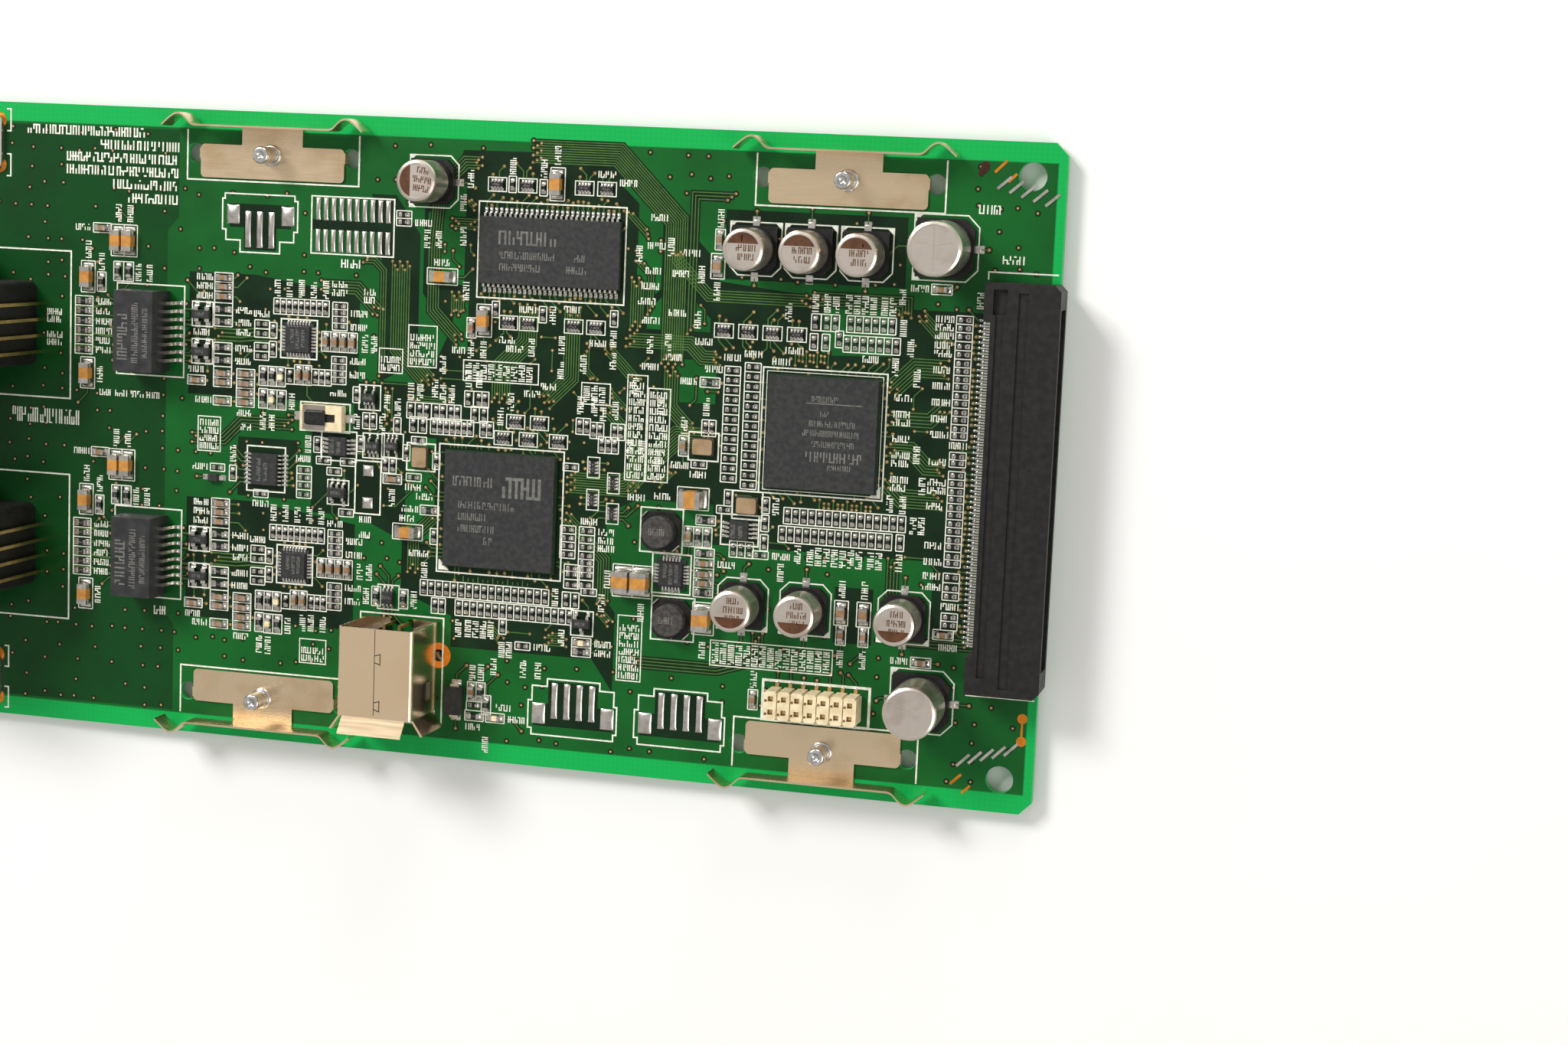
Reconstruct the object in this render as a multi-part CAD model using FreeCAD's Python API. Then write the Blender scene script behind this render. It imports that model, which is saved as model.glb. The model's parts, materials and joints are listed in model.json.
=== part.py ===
"""Network interface circuit board: one flat board with its connectors, chips, capacitors,
ground springs and a push switch.  Units are millimetres.

Board coordinates: the origin is the board's front right corner on its component side, x runs
to the right (so the board lies at negative x), y runs to the rear edge and z points up from the
component side.  The last function moves everything to the row frame: the centre of the bounding
box's bottom.
"""
import os

import FreeCAD
import Part
from FreeCAD import Vector as V

# ---------------------------------------------------------------- board
BOARD_L, BOARD_W, BOARD_T = 184.0, 97.7, 1.6
CORNER_CUT = 1.8
SCREW_R, SCREW_INSET = 2.05, 4.9
STANDOFF = 0.06            # bodies sit this far above the board, their terminals touch it
BELOW = 1.0                # pins and rivet heads end this far under the board
HOLE_GAP = 0.12            # radial clearance of a pin or peg in its hole

# ---------------------------------------------------------------- ground springs
SPRING_X = (-122.0, -31.7)
SPRING_T = 0.3
PLATE_L, PLATE_W, PLATE_INSET = 23.7, 5.1, 5.2     # wide plate and its distance from the board edge
NECK_L = 10.0
BEAM_INSET, BEAM_H, BEAM_LIFT = 2.3, 4.6, 1.0      # upright strip along the board edge
BEAM_HALF, HUMP_L, HUMP_RISE = 10.8, 5.6, 1.7
TAB_W, TAB_HOLE_R, TAB_X = 1.6, 1.5, 12.9
RIVET_R, RIVET_TOP, RIVET_HEAD_R, RIVET_INSET = 1.3, 4.7, 2.4, 6.6

# ---------------------------------------------------------------- card connector
CARD_Y0, CARD_Y1 = 18.4, 77.7
CARD_BACK, CARD_FRONT, CARD_H = -8.9, 1.0, 6.5
CARD_EAR_L, CARD_EAR_D = 5.5, 1.0
CARD_PITCH, CARD_COUNT, CARD_MID_Y = 0.4, 120, 48.2
CARD_SLOT_L, CARD_SLOT_H, CARD_SLOT_D, CARD_TONGUE_T = 52.0, 4.4, 6.0, 1.0

# ---------------------------------------------------------------- square serial socket
USB_X, USB_FRONT, USB_BACK = -98.9, 7.5, 21.2
USB_W, USB_H, USB_T = 12.0, 11.0, 0.35
USB_LIP = 2.3
USB_MOUTH_W, USB_MOUTH_H, USB_MOUTH_Z = 8.7, 8.0, 1.7
USB_TONGUE_W, USB_TONGUE_H = 5.6, 3.1
USB_LEG_Y, USB_LEG_W, USB_LEG_HOLE_R = 15.8, 2.0, 1.15

# ---------------------------------------------------------------- network jacks
JACK_Y = (28.1, 63.3)
JACK_FRONT, JACK_BLOCK_X, JACK_BACK = -186.0, -171.0, -161.9
JACK_W, JACK_H, JACK_BLOCK_W, JACK_BLOCK_H = 23.2, 23.0, 13.2, 15.0
JACK_CAV_W, JACK_CAV_H, JACK_CAV_Z, JACK_CAV_D = 11.9, 7.6, 8.0, 14.0
JACK_LATCH_W, JACK_LATCH_H = 6.4, 2.6
JACK_PITCH, JACK_WIRE = 1.27, 0.5
JACK_WIRE_X = (-161.2, -163.7)

# ---------------------------------------------------------------- panel terminals
TERMINAL_Y = (6.2, 91.5)
TERMINAL_W, TERMINAL_T, TERMINAL_H, TERMINAL_WALL = 8.6, 1.0, 9.0, 2.0
TERMINAL_LEG_X, TERMINAL_LEG_PITCH, TERMINAL_LEG = (-168.5, -175.5), 6.9, 0.9
TERMINAL_SCREW_R, TERMINAL_SCREW_Z = 1.25, 5.2

# ---------------------------------------------------------------- can capacitors: x, y, direction of the cut corners
CAN_SMALL = [(-95.6, 88.3, 0), (-45.2, 80.6, 270), (-36.9, 80.6, 270), (-28.5, 80.6, 270),
             (-44.9, 27.8, 90), (-35.3, 27.8, 90), (-20.4, 27.8, 90)]
CAN_LARGE = [(-16.9, 82.1, 0), (-17.1, 15.5, 0)]
CAN_SMALL_R, CAN_SMALL_H, CAN_LARGE_R, CAN_LARGE_H = 3.15, 7.7, 4.0, 10.0
CAN_BASE_T, CAN_BASE_EDGE = 1.1, 0.25

# ---------------------------------------------------------------- push switch
SWITCH_X, SWITCH_Y, SWITCH_L, SWITCH_W, SWITCH_H = -112.6, 51.5, 7.0, 3.9, 1.3
BUTTON_L, BUTTON_W, BUTTON_TOP = 3.4, 2.1, 2.0
BUTTON_X, BUTTON_TRAVEL, BUTTON_GAP = -0.9, 0.25, 0.1
COVER_T = 0.15

# ---------------------------------------------------------------- fourteen-way socket
HEADER_X, HEADER_Y, HEADER_PITCH, HEADER_COLS = -33.0, 13.7, 2.0, 7
HEADER_W, HEADER_H = 4.3, 4.2

# ---------------------------------------------------------------- chip packages: length x width x height
CHIP_0402, CHIP_0603, CHIP_0805 = (1.0, 0.5, 0.35), (1.6, 0.8, 0.45), (2.0, 1.25, 0.9)
CHIP_1206, CHIP_1210 = (3.2, 1.6, 1.5), (3.2, 2.5, 2.4)
END_SHARE = 0.24           # share of a chip's length covered by each metal end


def box(x0, y0, z0, x1, y1, z1):
    """Box between two corners."""
    return Part.makeBox(x1 - x0, y1 - y0, z1 - z0, V(x0, y0, z0))


def block(x, y, z0, lx, ly, h):
    """Box centred on x, y standing on z0."""
    return box(x - lx / 2, y - ly / 2, z0, x + lx / 2, y + ly / 2, z0 + h)


def prism(points, direction):
    """Solid swept from a closed polygon."""
    return Part.Face(Part.makePolygon([V(*p) for p in points + points[:1]])).extrude(V(*direction))


def rod(x, y, z0, r, h):
    return Part.makeCylinder(r, h, V(x, y, z0))


def edges_along(shape, axis, limit=None):
    """Straight edges parallel to one axis, optionally only those picked by a test."""
    found = []
    for e in shape.Edges:
        a, b = e.Vertexes[0].Point, e.Vertexes[-1].Point
        d = b - a
        if d.Length > 1e-6 and abs(d.normalize().dot(axis)) > 0.999 and (limit is None or limit(a)):
            found.append(e)
    return found


def rounded(x, y, z0, lx, ly, h, r):
    """Block with rounded upright edges."""
    s = block(x, y, z0, lx, ly, h)
    return s.makeFillet(r, edges_along(s, V(0, 0, 1)))


def turned(shape, angle, x, y):
    """A shape made about the origin, turned about z and moved to x, y."""
    s = shape.copy()
    s.rotate(V(0, 0, 0), V(0, 0, 1), angle)
    s.translate(V(x, y, 0))
    return s


def mirrored_front(shape):
    """The front-edge twin of something at the rear edge."""
    return shape.mirror(V(0, BOARD_W / 2, 0), V(0, 1, 0))


def group(shapes):
    return Part.makeCompound(shapes)


# ================================================================ circuit board
def circuit_board():
    c = CORNER_CUT
    outline = [(-BOARD_L, 0, -BOARD_T), (-c, 0, -BOARD_T), (0, c, -BOARD_T),
               (0, BOARD_W - c, -BOARD_T), (-c, BOARD_W, -BOARD_T), (-BOARD_L, BOARD_W, -BOARD_T)]
    holes = [(-SCREW_INSET, SCREW_INSET, SCREW_R), (-SCREW_INSET, BOARD_W - SCREW_INSET, SCREW_R)]
    for x in SPRING_X:
        for inset in (RIVET_INSET, BOARD_W - RIVET_INSET):
            holes.append((x, inset, RIVET_R + HOLE_GAP))
            holes += [(x + s * TAB_X, inset, TAB_HOLE_R) for s in (-1, 1)]
    holes += [(USB_X + s * USB_W / 2, USB_LEG_Y, USB_LEG_HOLE_R) for s in (-1, 1)]
    holes += [(x, y, 0.35 + HOLE_GAP) for x, y in usb_pin_places()]
    holes += [(x, y, JACK_WIRE * 0.71 + HOLE_GAP) for x, y in jack_wire_places()]
    holes += [(x, y, TERMINAL_LEG * 0.71 + HOLE_GAP) for x, y in terminal_leg_places()]
    tools = [rod(x, y, -BOARD_T - 1, r, BOARD_T + 2) for x, y, r in holes]
    return prism(outline, (0, 0, BOARD_T)).cut(group(tools))


# ================================================================ ground springs
def spring(x):
    """One-piece leaf spring at the rear edge: riveted plate, neck and an upright strip whose two
    free ends bow out over the edge."""
    y_plate = BOARD_W - PLATE_INSET
    y_beam = BOARD_W - BEAM_INSET
    half = PLATE_L / 2
    plate = rounded(x, y_plate - PLATE_W / 2, 0, PLATE_L, PLATE_W, SPRING_T, 0.7)
    neck = box(x - NECK_L / 2, y_plate - 0.6, 0, x + NECK_L / 2, y_beam, SPRING_T)
    riser = box(x - NECK_L / 2, y_beam - SPRING_T, 0, x + NECK_L / 2, y_beam, BEAM_H)
    flat = plate.fuse([neck, riser])
    hollow = rod(x, BOARD_W - RIVET_INSET, -1, RIVET_R + HOLE_GAP, 3)
    tabs = [box(x + s * half - SPRING_T / 2, BOARD_W - RIVET_INSET - TAB_W / 2, -1.1,
                x + s * half + SPRING_T / 2, BOARD_W - RIVET_INSET + TAB_W / 2, SPRING_T)
            for s in (-1, 1)]
    return flat.cut(hollow).fuse(tabs + [spring_strip(x, y_beam)]).removeSplitter()


def spring_strip(x, y):
    """The upright strip seen from above: straight in the middle, a hump at each end."""
    t = SPRING_T
    straight = [V(x - BEAM_HALF, y, 0), V(x + BEAM_HALF, y, 0)]
    right = [straight[1], V(x + BEAM_HALF + 0.28 * HUMP_L, y + 0.55 * HUMP_RISE, 0),
             V(x + BEAM_HALF + 0.52 * HUMP_L, y + HUMP_RISE, 0),
             V(x + BEAM_HALF + 0.76 * HUMP_L, y + 0.62 * HUMP_RISE, 0),
             V(x + BEAM_HALF + HUMP_L, y - 0.1, 0)]
    curve = Part.BSplineCurve()
    curve.interpolate(right, InitialTangent=V(1, 0, 0), FinalTangent=V(1, -0.8, 0))
    outer = curve.toShape()
    inner = curve.copy()
    inner.translate(V(0, -t, 0))
    inner = inner.toShape()
    ends = [Part.makeLine(right[0], right[0] - V(0, t, 0)), Part.makeLine(right[-1], right[-1] - V(0, t, 0))]
    wing = Part.Face(Part.Wire(Part.__sortEdges__([outer, ends[1], inner, ends[0]])))
    wing = wing.extrude(V(0, 0, BEAM_H - BEAM_LIFT))
    wing.translate(V(0, 0, BEAM_LIFT))
    middle = box(x - BEAM_HALF, y - t, BEAM_LIFT, x + BEAM_HALF, y, BEAM_H)
    return middle.fuse([wing, wing.mirror(V(x, 0, 0), V(1, 0, 0))])


def spring_rivets():
    """Blind rivets: a head under the board and a dimpled tail standing up through the plate."""
    rivets = []
    for x in SPRING_X:
        for y in (RIVET_INSET, BOARD_W - RIVET_INSET):
            shank = rod(x, y, -BOARD_T, RIVET_R, BOARD_T + RIVET_TOP)
            shank = shank.makeFillet(0.35, [e for e in shank.Edges if e.BoundBox.ZMin > RIVET_TOP - 0.1])
            collar = rod(x, y, SPRING_T, RIVET_R + 0.35, 0.7)
            collar = collar.makeFillet(0.3, [e for e in collar.Edges if e.BoundBox.ZMin > SPRING_T + 0.5])
            head = rod(x, y, -BOARD_T - BELOW, RIVET_HEAD_R, BELOW)
            head = head.makeFillet(0.4, [e for e in head.Edges if e.BoundBox.ZMax < -BOARD_T - BELOW + 0.1])
            dimple = Part.makeSphere(0.75, V(x, y, RIVET_TOP + 0.3))
            rivets.append(shank.fuse([collar, head]).cut(dimple))
    return group(rivets)


# ================================================================ card connector
def card_housing():
    body = box(CARD_BACK, CARD_Y0, 0, CARD_FRONT, CARD_Y1, CARD_H)
    ears = [box(CARD_BACK - CARD_EAR_D, y, 0, CARD_BACK, y + CARD_EAR_L, CARD_H)
            for y in (CARD_Y0, CARD_Y1 - CARD_EAR_L)]
    body = body.fuse(ears)
    body = body.makeChamfer(0.9, edges_along(body, V(0, 0, 1), lambda p: p.x > 0.5))
    slot_y0 = CARD_MID_Y - CARD_SLOT_L / 2
    slot_z0 = (CARD_H - CARD_SLOT_H) / 2
    cuts = [box(CARD_FRONT - CARD_SLOT_D, slot_y0, slot_z0,
                CARD_FRONT + 1, slot_y0 + CARD_SLOT_L, slot_z0 + CARD_SLOT_H)]
    for x0, x1, y0, y1 in ((-8.2, -7.0, 21.0, 75.0), (-5.0, -3.6, 19.6, 76.4)):
        cuts.append(box(x0, y0, CARD_H - 0.3, x1, y1, CARD_H + 1))
    cuts.append(box(-8.6, 73.2, CARD_H - 0.8, -6.6, 76.8, CARD_H + 1))
    cuts.append(box(CARD_BACK - 0.1, CARD_Y0 + CARD_EAR_L, -0.1,
                    CARD_BACK + 0.9, CARD_Y1 - CARD_EAR_L, 1.1))
    tongue = box(CARD_FRONT - CARD_SLOT_D, slot_y0 + 0.6, (CARD_H - CARD_TONGUE_T) / 2,
                 CARD_FRONT - 0.8, slot_y0 + CARD_SLOT_L - 0.6, (CARD_H + CARD_TONGUE_T) / 2)
    return body.cut(group(cuts)).fuse(tongue).removeSplitter()


def card_contacts():
    """Solder tails in two staggered columns, and the strips on both sides of the tongue."""
    parts = []
    first = CARD_MID_Y - CARD_PITCH * (CARD_COUNT - 1) / 2
    z_mid = CARD_H / 2
    for i in range(CARD_COUNT):
        y = first + i * CARD_PITCH
        reach = 2.25 if i % 2 else 1.6
        x0, t = CARD_BACK + 0.9, 0.15
        profile = [(x0, y, 0.75), (x0 - 1.3, y, 0.75), (x0 - 1.75, y, 0), (CARD_BACK - reach, y, 0),
                   (CARD_BACK - reach, y, t), (x0 - 1.84, y, t), (x0 - 1.39, y, 0.75 + t), (x0, y, 0.75 + t)]
        tail = prism(profile, (0, 0.2, 0))
        tail.translate(V(0, -0.1, 0))
        parts.append(tail)
        side = 1 if i % 2 else -1
        z = z_mid + side * CARD_TONGUE_T / 2
        parts.append(box(CARD_FRONT - CARD_SLOT_D + 0.2, y - 0.17, min(z, z + side * 0.08),
                         CARD_FRONT - 1.2, y + 0.17, max(z, z + side * 0.08)))
    return group(parts)


# ================================================================ square serial socket
def usb_pin_places():
    return [(USB_X + s * 1.25, y) for s in (-1, 1) for y in (USB_BACK - 2.6, USB_BACK - 0.6)]


def usb_shell():
    """Folded sheet box open at the front and rear, three flared lips and two board legs."""
    w, t = USB_W / 2, USB_T
    outer = box(USB_X - w, USB_FRONT, 0.05, USB_X + w, USB_BACK, USB_H)
    outer = outer.makeFillet(0.6, edges_along(outer, V(0, 1, 0), lambda p: p.z > 1))
    inner = box(USB_X - w + t, USB_FRONT - 1, 0.05 + t, USB_X + w - t, USB_BACK + 1, USB_H - t)
    inner = inner.makeFillet(0.3, edges_along(inner, V(0, 1, 0), lambda p: p.z > 1))
    shell = outer.cut(inner)
    seam = box(USB_X - 0.05, USB_FRONT + 0.4, USB_H - 0.12, USB_X + 0.05, USB_BACK + 1, USB_H + 1)
    windows = [box(x - 1, 9.6, 3.2, x + 1, 12.4, 6.2) for x in (USB_X - w, USB_X + w)]
    pin_window = box(USB_X - 1.9, USB_BACK - 3.3, -1, USB_X + 1.9, USB_BACK + 1, 1)
    shell = shell.cut(group([seam, pin_window] + windows))
    lip = USB_LIP
    yf = USB_FRONT
    top = prism([(USB_X - w + 0.9, yf, USB_H - t), (USB_X - w + 0.9, yf, USB_H),
                 (USB_X - w + 0.9, yf - lip, USB_H + lip * 0.8), (USB_X - w + 0.9, yf - lip - 0.2, USB_H + lip * 0.8 - t)],
                (USB_W - 1.8, 0, 0))
    sides = []
    for s in (-1, 1):
        x = USB_X + s * w
        sides.append(prism([(x - s * t, yf, 1.6), (x, yf, 1.6), (x + s * lip * 0.7, yf - lip, 1.6),
                            (x + s * (lip * 0.7 - t), yf - lip - 0.15, 1.6)], (0, 0, USB_H - 2.6)))
    legs = []
    for s in (-1, 1):
        x = USB_X + s * (w - t / 2)
        legs.append(box(x - t / 2, USB_LEG_Y - USB_LEG_W / 2, -BOARD_T - BELOW,
                        x + t / 2, USB_LEG_Y + USB_LEG_W / 2, 0.6))
    return shell.fuse([top] + sides + legs).removeSplitter()


def usb_insulator():
    """Moulded block filling the shell, its mouth with cut upper corners and the central tongue."""
    w = USB_W / 2 - USB_T
    body = box(USB_X - w, USB_FRONT + 0.5, 0.05 + USB_T, USB_X + w, USB_BACK - 1.2, USB_H - USB_T)
    body = body.makeFillet(0.35, edges_along(body, V(0, 1, 0), lambda p: p.z > 1))
    m, z0, c = USB_MOUTH_W / 2, USB_MOUTH_Z, 1.7
    z1 = z0 + USB_MOUTH_H
    mouth = prism([(USB_X - m, 0, z0), (USB_X + m, 0, z0), (USB_X + m, 0, z1 - c), (USB_X + m - c, 0, z1),
                   (USB_X - m + c, 0, z1), (USB_X - m, 0, z1 - c)], (0, USB_FRONT + 9.0, 0))
    zc = z0 + USB_MOUTH_H / 2
    tongue = box(USB_X - USB_TONGUE_W / 2, USB_FRONT + 1.4, zc - USB_TONGUE_H / 2,
                 USB_X + USB_TONGUE_W / 2, USB_FRONT + 9.2, zc + USB_TONGUE_H / 2)
    back_step = box(USB_X - 2.4, USB_BACK - 2.1, -1, USB_X + 2.4, USB_BACK, 5.0)
    grooves = [block(x, USB_BACK - 2.6, -1, 0.9, 0.9, 3.0) for x in (USB_X - 1.25, USB_X + 1.25)]
    strips = [box(USB_X + dx - 0.52, USB_FRONT + 1.3, zc + s * (USB_TONGUE_H / 2 - 0.15) - 0.16,
                  USB_X + dx + 0.52, USB_FRONT + 8.3, zc + s * (USB_TONGUE_H / 2 - 0.15) + 0.16)
              for dx in (-1.25, 1.25) for s in (-1, 1)]
    return body.cut(mouth).fuse(tongue).cut(group([back_step] + grooves + strips)).removeSplitter()


def usb_contacts():
    parts = []
    zc = USB_MOUTH_Z + USB_MOUTH_H / 2
    for dx in (-1.25, 1.25):
        for s in (-1, 1):
            z = zc + s * (USB_TONGUE_H / 2 - 0.15)
            parts.append(box(USB_X + dx - 0.5, USB_FRONT + 1.6, z - 0.12, USB_X + dx + 0.5, USB_FRONT + 8.2, z + 0.12))
        parts.append(block(USB_X + dx, USB_BACK - 2.6, -BOARD_T - BELOW, 0.45, 0.45, BOARD_T + BELOW + 1.8))
        post = block(USB_X + dx, USB_BACK - 0.6, -BOARD_T - BELOW, 0.45, 0.45, BOARD_T + BELOW + 4.6)
        arm = box(USB_X + dx - 0.225, USB_BACK - 2.05, 4.15, USB_X + dx + 0.225, USB_BACK - 0.4, 4.6)
        parts.append(post.fuse(arm))
    return group(parts)


# ================================================================ network jacks
def jack_wire_places():
    """Two staggered rows of four board wires for each jack."""
    return [(JACK_WIRE_X[i % 2], y + (i - 3.5) * JACK_PITCH) for y in JACK_Y for i in range(8)]


def jack_housing(y):
    front = box(JACK_FRONT, y - JACK_W / 2, 0.1, JACK_BLOCK_X, y + JACK_W / 2, JACK_H)
    front = front.makeFillet(4.0, edges_along(front, V(1, 0, 0), lambda p: p.z > 1))
    front = front.makeFillet(0.6, [e for e in front.Edges if e.BoundBox.XMax < JACK_FRONT + 0.1])
    rear = box(JACK_BLOCK_X, y - JACK_BLOCK_W / 2, 0.1, JACK_BACK, y + JACK_BLOCK_W / 2, JACK_BLOCK_H)
    rear = rear.makeFillet(1.2, edges_along(rear, V(0, 0, 1), lambda p: p.x > JACK_BLOCK_X + 1))
    rear = rear.makeFillet(0.8, [e for e in rear.Edges if e.BoundBox.ZMin > JACK_BLOCK_H - 0.01
                                 and e.BoundBox.XMax > JACK_BLOCK_X + 0.5])
    body = front.fuse(rear)
    x0 = JACK_FRONT - 1
    deep = JACK_CAV_D + 1
    cavity = Part.makeBox(deep, JACK_CAV_W, JACK_CAV_H, V(x0, y - JACK_CAV_W / 2, JACK_CAV_Z))
    latch = Part.makeBox(deep, JACK_LATCH_W, JACK_LATCH_H, V(x0, y - JACK_LATCH_W / 2, JACK_CAV_Z - JACK_LATCH_H))
    ring = Part.makeCylinder(10.4, 1.0, V(JACK_FRONT - 0.1, y, JACK_H / 2 + 0.3), V(1, 0, 0))
    core = Part.makeCylinder(9.6, 1.2, V(JACK_FRONT - 0.2, y, JACK_H / 2 + 0.3), V(1, 0, 0))
    slots = [block(JACK_WIRE_X[0] - 0.3, wy, 1.0, 1.0, 0.7, 12.4) for wx, wy in jack_wire_places()
             if wx == JACK_WIRE_X[0] and abs(wy - y) < 6]
    wells = [block(JACK_WIRE_X[1], wy, -1, 0.8, 0.8, 3.0) for wx, wy in jack_wire_places()
             if wx == JACK_WIRE_X[1] and abs(wy - y) < 6]
    return body.cut(group([cavity, latch, ring.cut(core)] + slots + wells))


def jack_contacts(y):
    """Board wires up the rear face, and the eight spring wires under the cavity's roof."""
    w = JACK_WIRE
    parts = []
    for wx, wy in jack_wire_places():
        if abs(wy - y) > 6:
            continue
        top = 13.2 if wx == JACK_WIRE_X[0] else 1.9
        parts.append(block(wx, wy, -BOARD_T - BELOW, w, w, BOARD_T + BELOW + top))
    roof = JACK_CAV_Z + JACK_CAV_H
    for i in range(8):
        yy = y + (i - 3.5) * 1.02
        x0, x1 = JACK_FRONT + 3.0, JACK_FRONT + JACK_CAV_D
        parts.append(prism([(x0, yy - 0.2, roof - 0.45), (x0, yy - 0.2, roof - 0.05), (x0 + 0.6, yy - 0.2, roof - 0.05),
                            (x1, yy - 0.2, roof - 1.0), (x1, yy - 0.2, roof - 1.4)], (0, 0.4, 0)))
    return group(parts)


# ================================================================ panel terminals
def terminal_leg_places():
    return [(x, y + s * TERMINAL_LEG_PITCH / 2) for y in TERMINAL_Y for x in TERMINAL_LEG_X for s in (-1, 1)]


def panel_terminals():
    """Bent steel angles with four board legs and a tapped upright for a panel screw."""
    parts = []
    for y in TERMINAL_Y:
        w = TERMINAL_W / 2
        foot = box(-BOARD_L, y - w, 0.05, TERMINAL_LEG_X[0] + 0.9, y + w, TERMINAL_T)
        foot = foot.makeFillet(1.2, edges_along(foot, V(0, 0, 1), lambda p: p.x > -BOARD_L + 1))
        wall = box(-BOARD_L, y - w, 0.05, -BOARD_L + TERMINAL_WALL, y + w, TERMINAL_H)
        wall = wall.makeFillet(1.6, edges_along(wall, V(1, 0, 0), lambda p: p.z > 1))
        window = block((TERMINAL_LEG_X[0] + TERMINAL_LEG_X[1]) / 2 - 1.0, y, -1, 5.0, 3.6, 3)
        legs = [block(x, ly, -BOARD_T - BELOW, TERMINAL_LEG, TERMINAL_LEG, BOARD_T + BELOW + TERMINAL_T)
                for x, ly in terminal_leg_places() if abs(ly - y) < 6]
        tap = Part.makeCylinder(TERMINAL_SCREW_R, TERMINAL_WALL + 2, V(-BOARD_L - 1, y, TERMINAL_SCREW_Z), V(1, 0, 0))
        parts.append(foot.cut(window).fuse([wall] + legs).cut(tap).removeSplitter())
    return group(parts)


# ================================================================ can capacitors
def can_base(r):
    """Square plinth with two cut corners and a round seat, cut corners toward +x."""
    a = r + CAN_BASE_EDGE
    c = 0.38 * r
    s = prism([(-a, -a, 0.1), (a - c, -a, 0.1), (a, -a + c, 0.1), (a, a - c, 0.1), (a - c, a, 0.1), (-a, a, 0.1)],
              (0, 0, CAN_BASE_T - 0.1))
    lip = Part.makeCylinder(r + 0.12, 0.5, V(0, 0, CAN_BASE_T)).cut(Part.makeCylinder(r - 0.28, 0.5, V(0, 0, CAN_BASE_T)))
    corners = prism([(-a, -a, 0), (-a + 1.1, -a, 0), (-a, -a + 1.1, 0)], (0, 0, 0.5))
    slots = [block(sx * (a - 0.9), 0, -0.1, 2.0, 1.3, 0.45) for sx in (-1, 1)]
    return s.cut(group(slots)).fuse([lip]).cut(group([corners, corners.mirror(V(0, 0, 0), V(0, 1, 0))]))


def can(r, h, scored):
    """Deep-drawn aluminium can: rounded top, a groove above its plinth, a vent score on big ones."""
    z0 = CAN_BASE_T
    side = [(0, 0, z0), (r - 0.32, 0, z0), (r - 0.32, 0, z0 + 0.75), (r - 0.4, 0, z0 + 0.95),
            (r, 0, z0 + 1.35), (r, 0, h - 0.55), (r - 0.16, 0, h - 0.18), (r - 0.5, 0, h), (0, 0, h)]
    wire = Part.makePolygon([V(*p) for p in side + side[:1]])
    s = Part.Face(wire).revolve(V(0, 0, 0), V(0, 0, 1), 360)
    if s.Volume < 0:
        s.reverse()
    dish = Part.makeCylinder(r - 0.62, 0.5, V(0, 0, h - 0.1))
    s = Part.makeSolid(s.Shells[0]).cut(dish)
    if scored:
        arms = [block(0, 0, h - 0.2, 0.16, 1.5 * r, 1.0)]
        for s1 in (-1, 1):
            arms.append(turned(block(r * 0.34, 0, h - 0.2, r * 0.62, 0.16, 1.0), 90 + s1 * 78, 0, 0.1 * r))
        s = s.cut(group(arms))
    return s


def can_leads(r):
    """Flat leads folded out under the plinth on both sides."""
    a = r + CAN_BASE_EDGE
    inner, outer = a - 1.7, a + 0.75
    return [box(min(sx * inner, sx * outer), -0.5, 0, max(sx * inner, sx * outer), 0.5, 0.2) for sx in (-1, 1)]


# ================================================================ push switch
def switch_housing():
    l, w, h = SWITCH_L / 2, SWITCH_W / 2, SWITCH_H
    body = block(0, 0, STANDOFF, SWITCH_L, SWITCH_W, h - STANDOFF)
    body = body.makeFillet(0.3, edges_along(body, V(0, 0, 1)))
    pocket = block(BUTTON_X, 0, 0.35, BUTTON_L + 0.6, BUTTON_W + 0.9, 3)
    body = body.cut(pocket)
    prongs = [box(0.75, s * w if s < 0 else 0.62, h, l - 0.05, -0.62 if s < 0 else s * w, h + COVER_T + 0.1)
              for s in (-1, 1)]
    bridge = box(2.35, -0.62, h, l - 0.05, 0.62, h + COVER_T + 0.1)
    slot = box(0.4, -0.62, h - 0.35, 2.35, 0.62, h + 1)
    head = prongs[0].fuse([prongs[1], bridge])
    strip = box(-l, -w + 0.1, h, -l + 0.45, w - 0.1, h + COVER_T)
    return turned(body.fuse([head, strip]).cut(slot).removeSplitter(), 0, SWITCH_X, SWITCH_Y)


def switch_cover():
    """Pressed metal frame round the button."""
    h = SWITCH_H
    plate = box(-SWITCH_L / 2 + 0.5, -SWITCH_W / 2 + 0.05, h, 0.7, SWITCH_W / 2 - 0.05, h + COVER_T)
    window = rounded(BUTTON_X, 0, h - 1, BUTTON_L + 2 * BUTTON_GAP, BUTTON_W + 2 * BUTTON_GAP, 3, 0.45)
    exit_slot = box(0.2, -0.62, h - 1, 1.2, 0.62, h + 1)
    return turned(plate.cut(group([window, exit_slot])), 0, SWITCH_X, SWITCH_Y)


def switch_button():
    """The moving button with its narrow tail."""
    key = rounded(BUTTON_X, 0, 0.8, BUTTON_L, BUTTON_W, BUTTON_TOP - 0.8, 0.4)
    key = key.makeFillet(0.15, [e for e in key.Edges if e.BoundBox.ZMin > BUTTON_TOP - 0.01])
    tail = box(BUTTON_X + BUTTON_L / 2 - 0.3, -0.45, SWITCH_H - 0.05, 2.1, 0.45, SWITCH_H + 0.2)
    return turned(key.fuse(tail).removeSplitter(), 0, SWITCH_X, SWITCH_Y)


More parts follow.
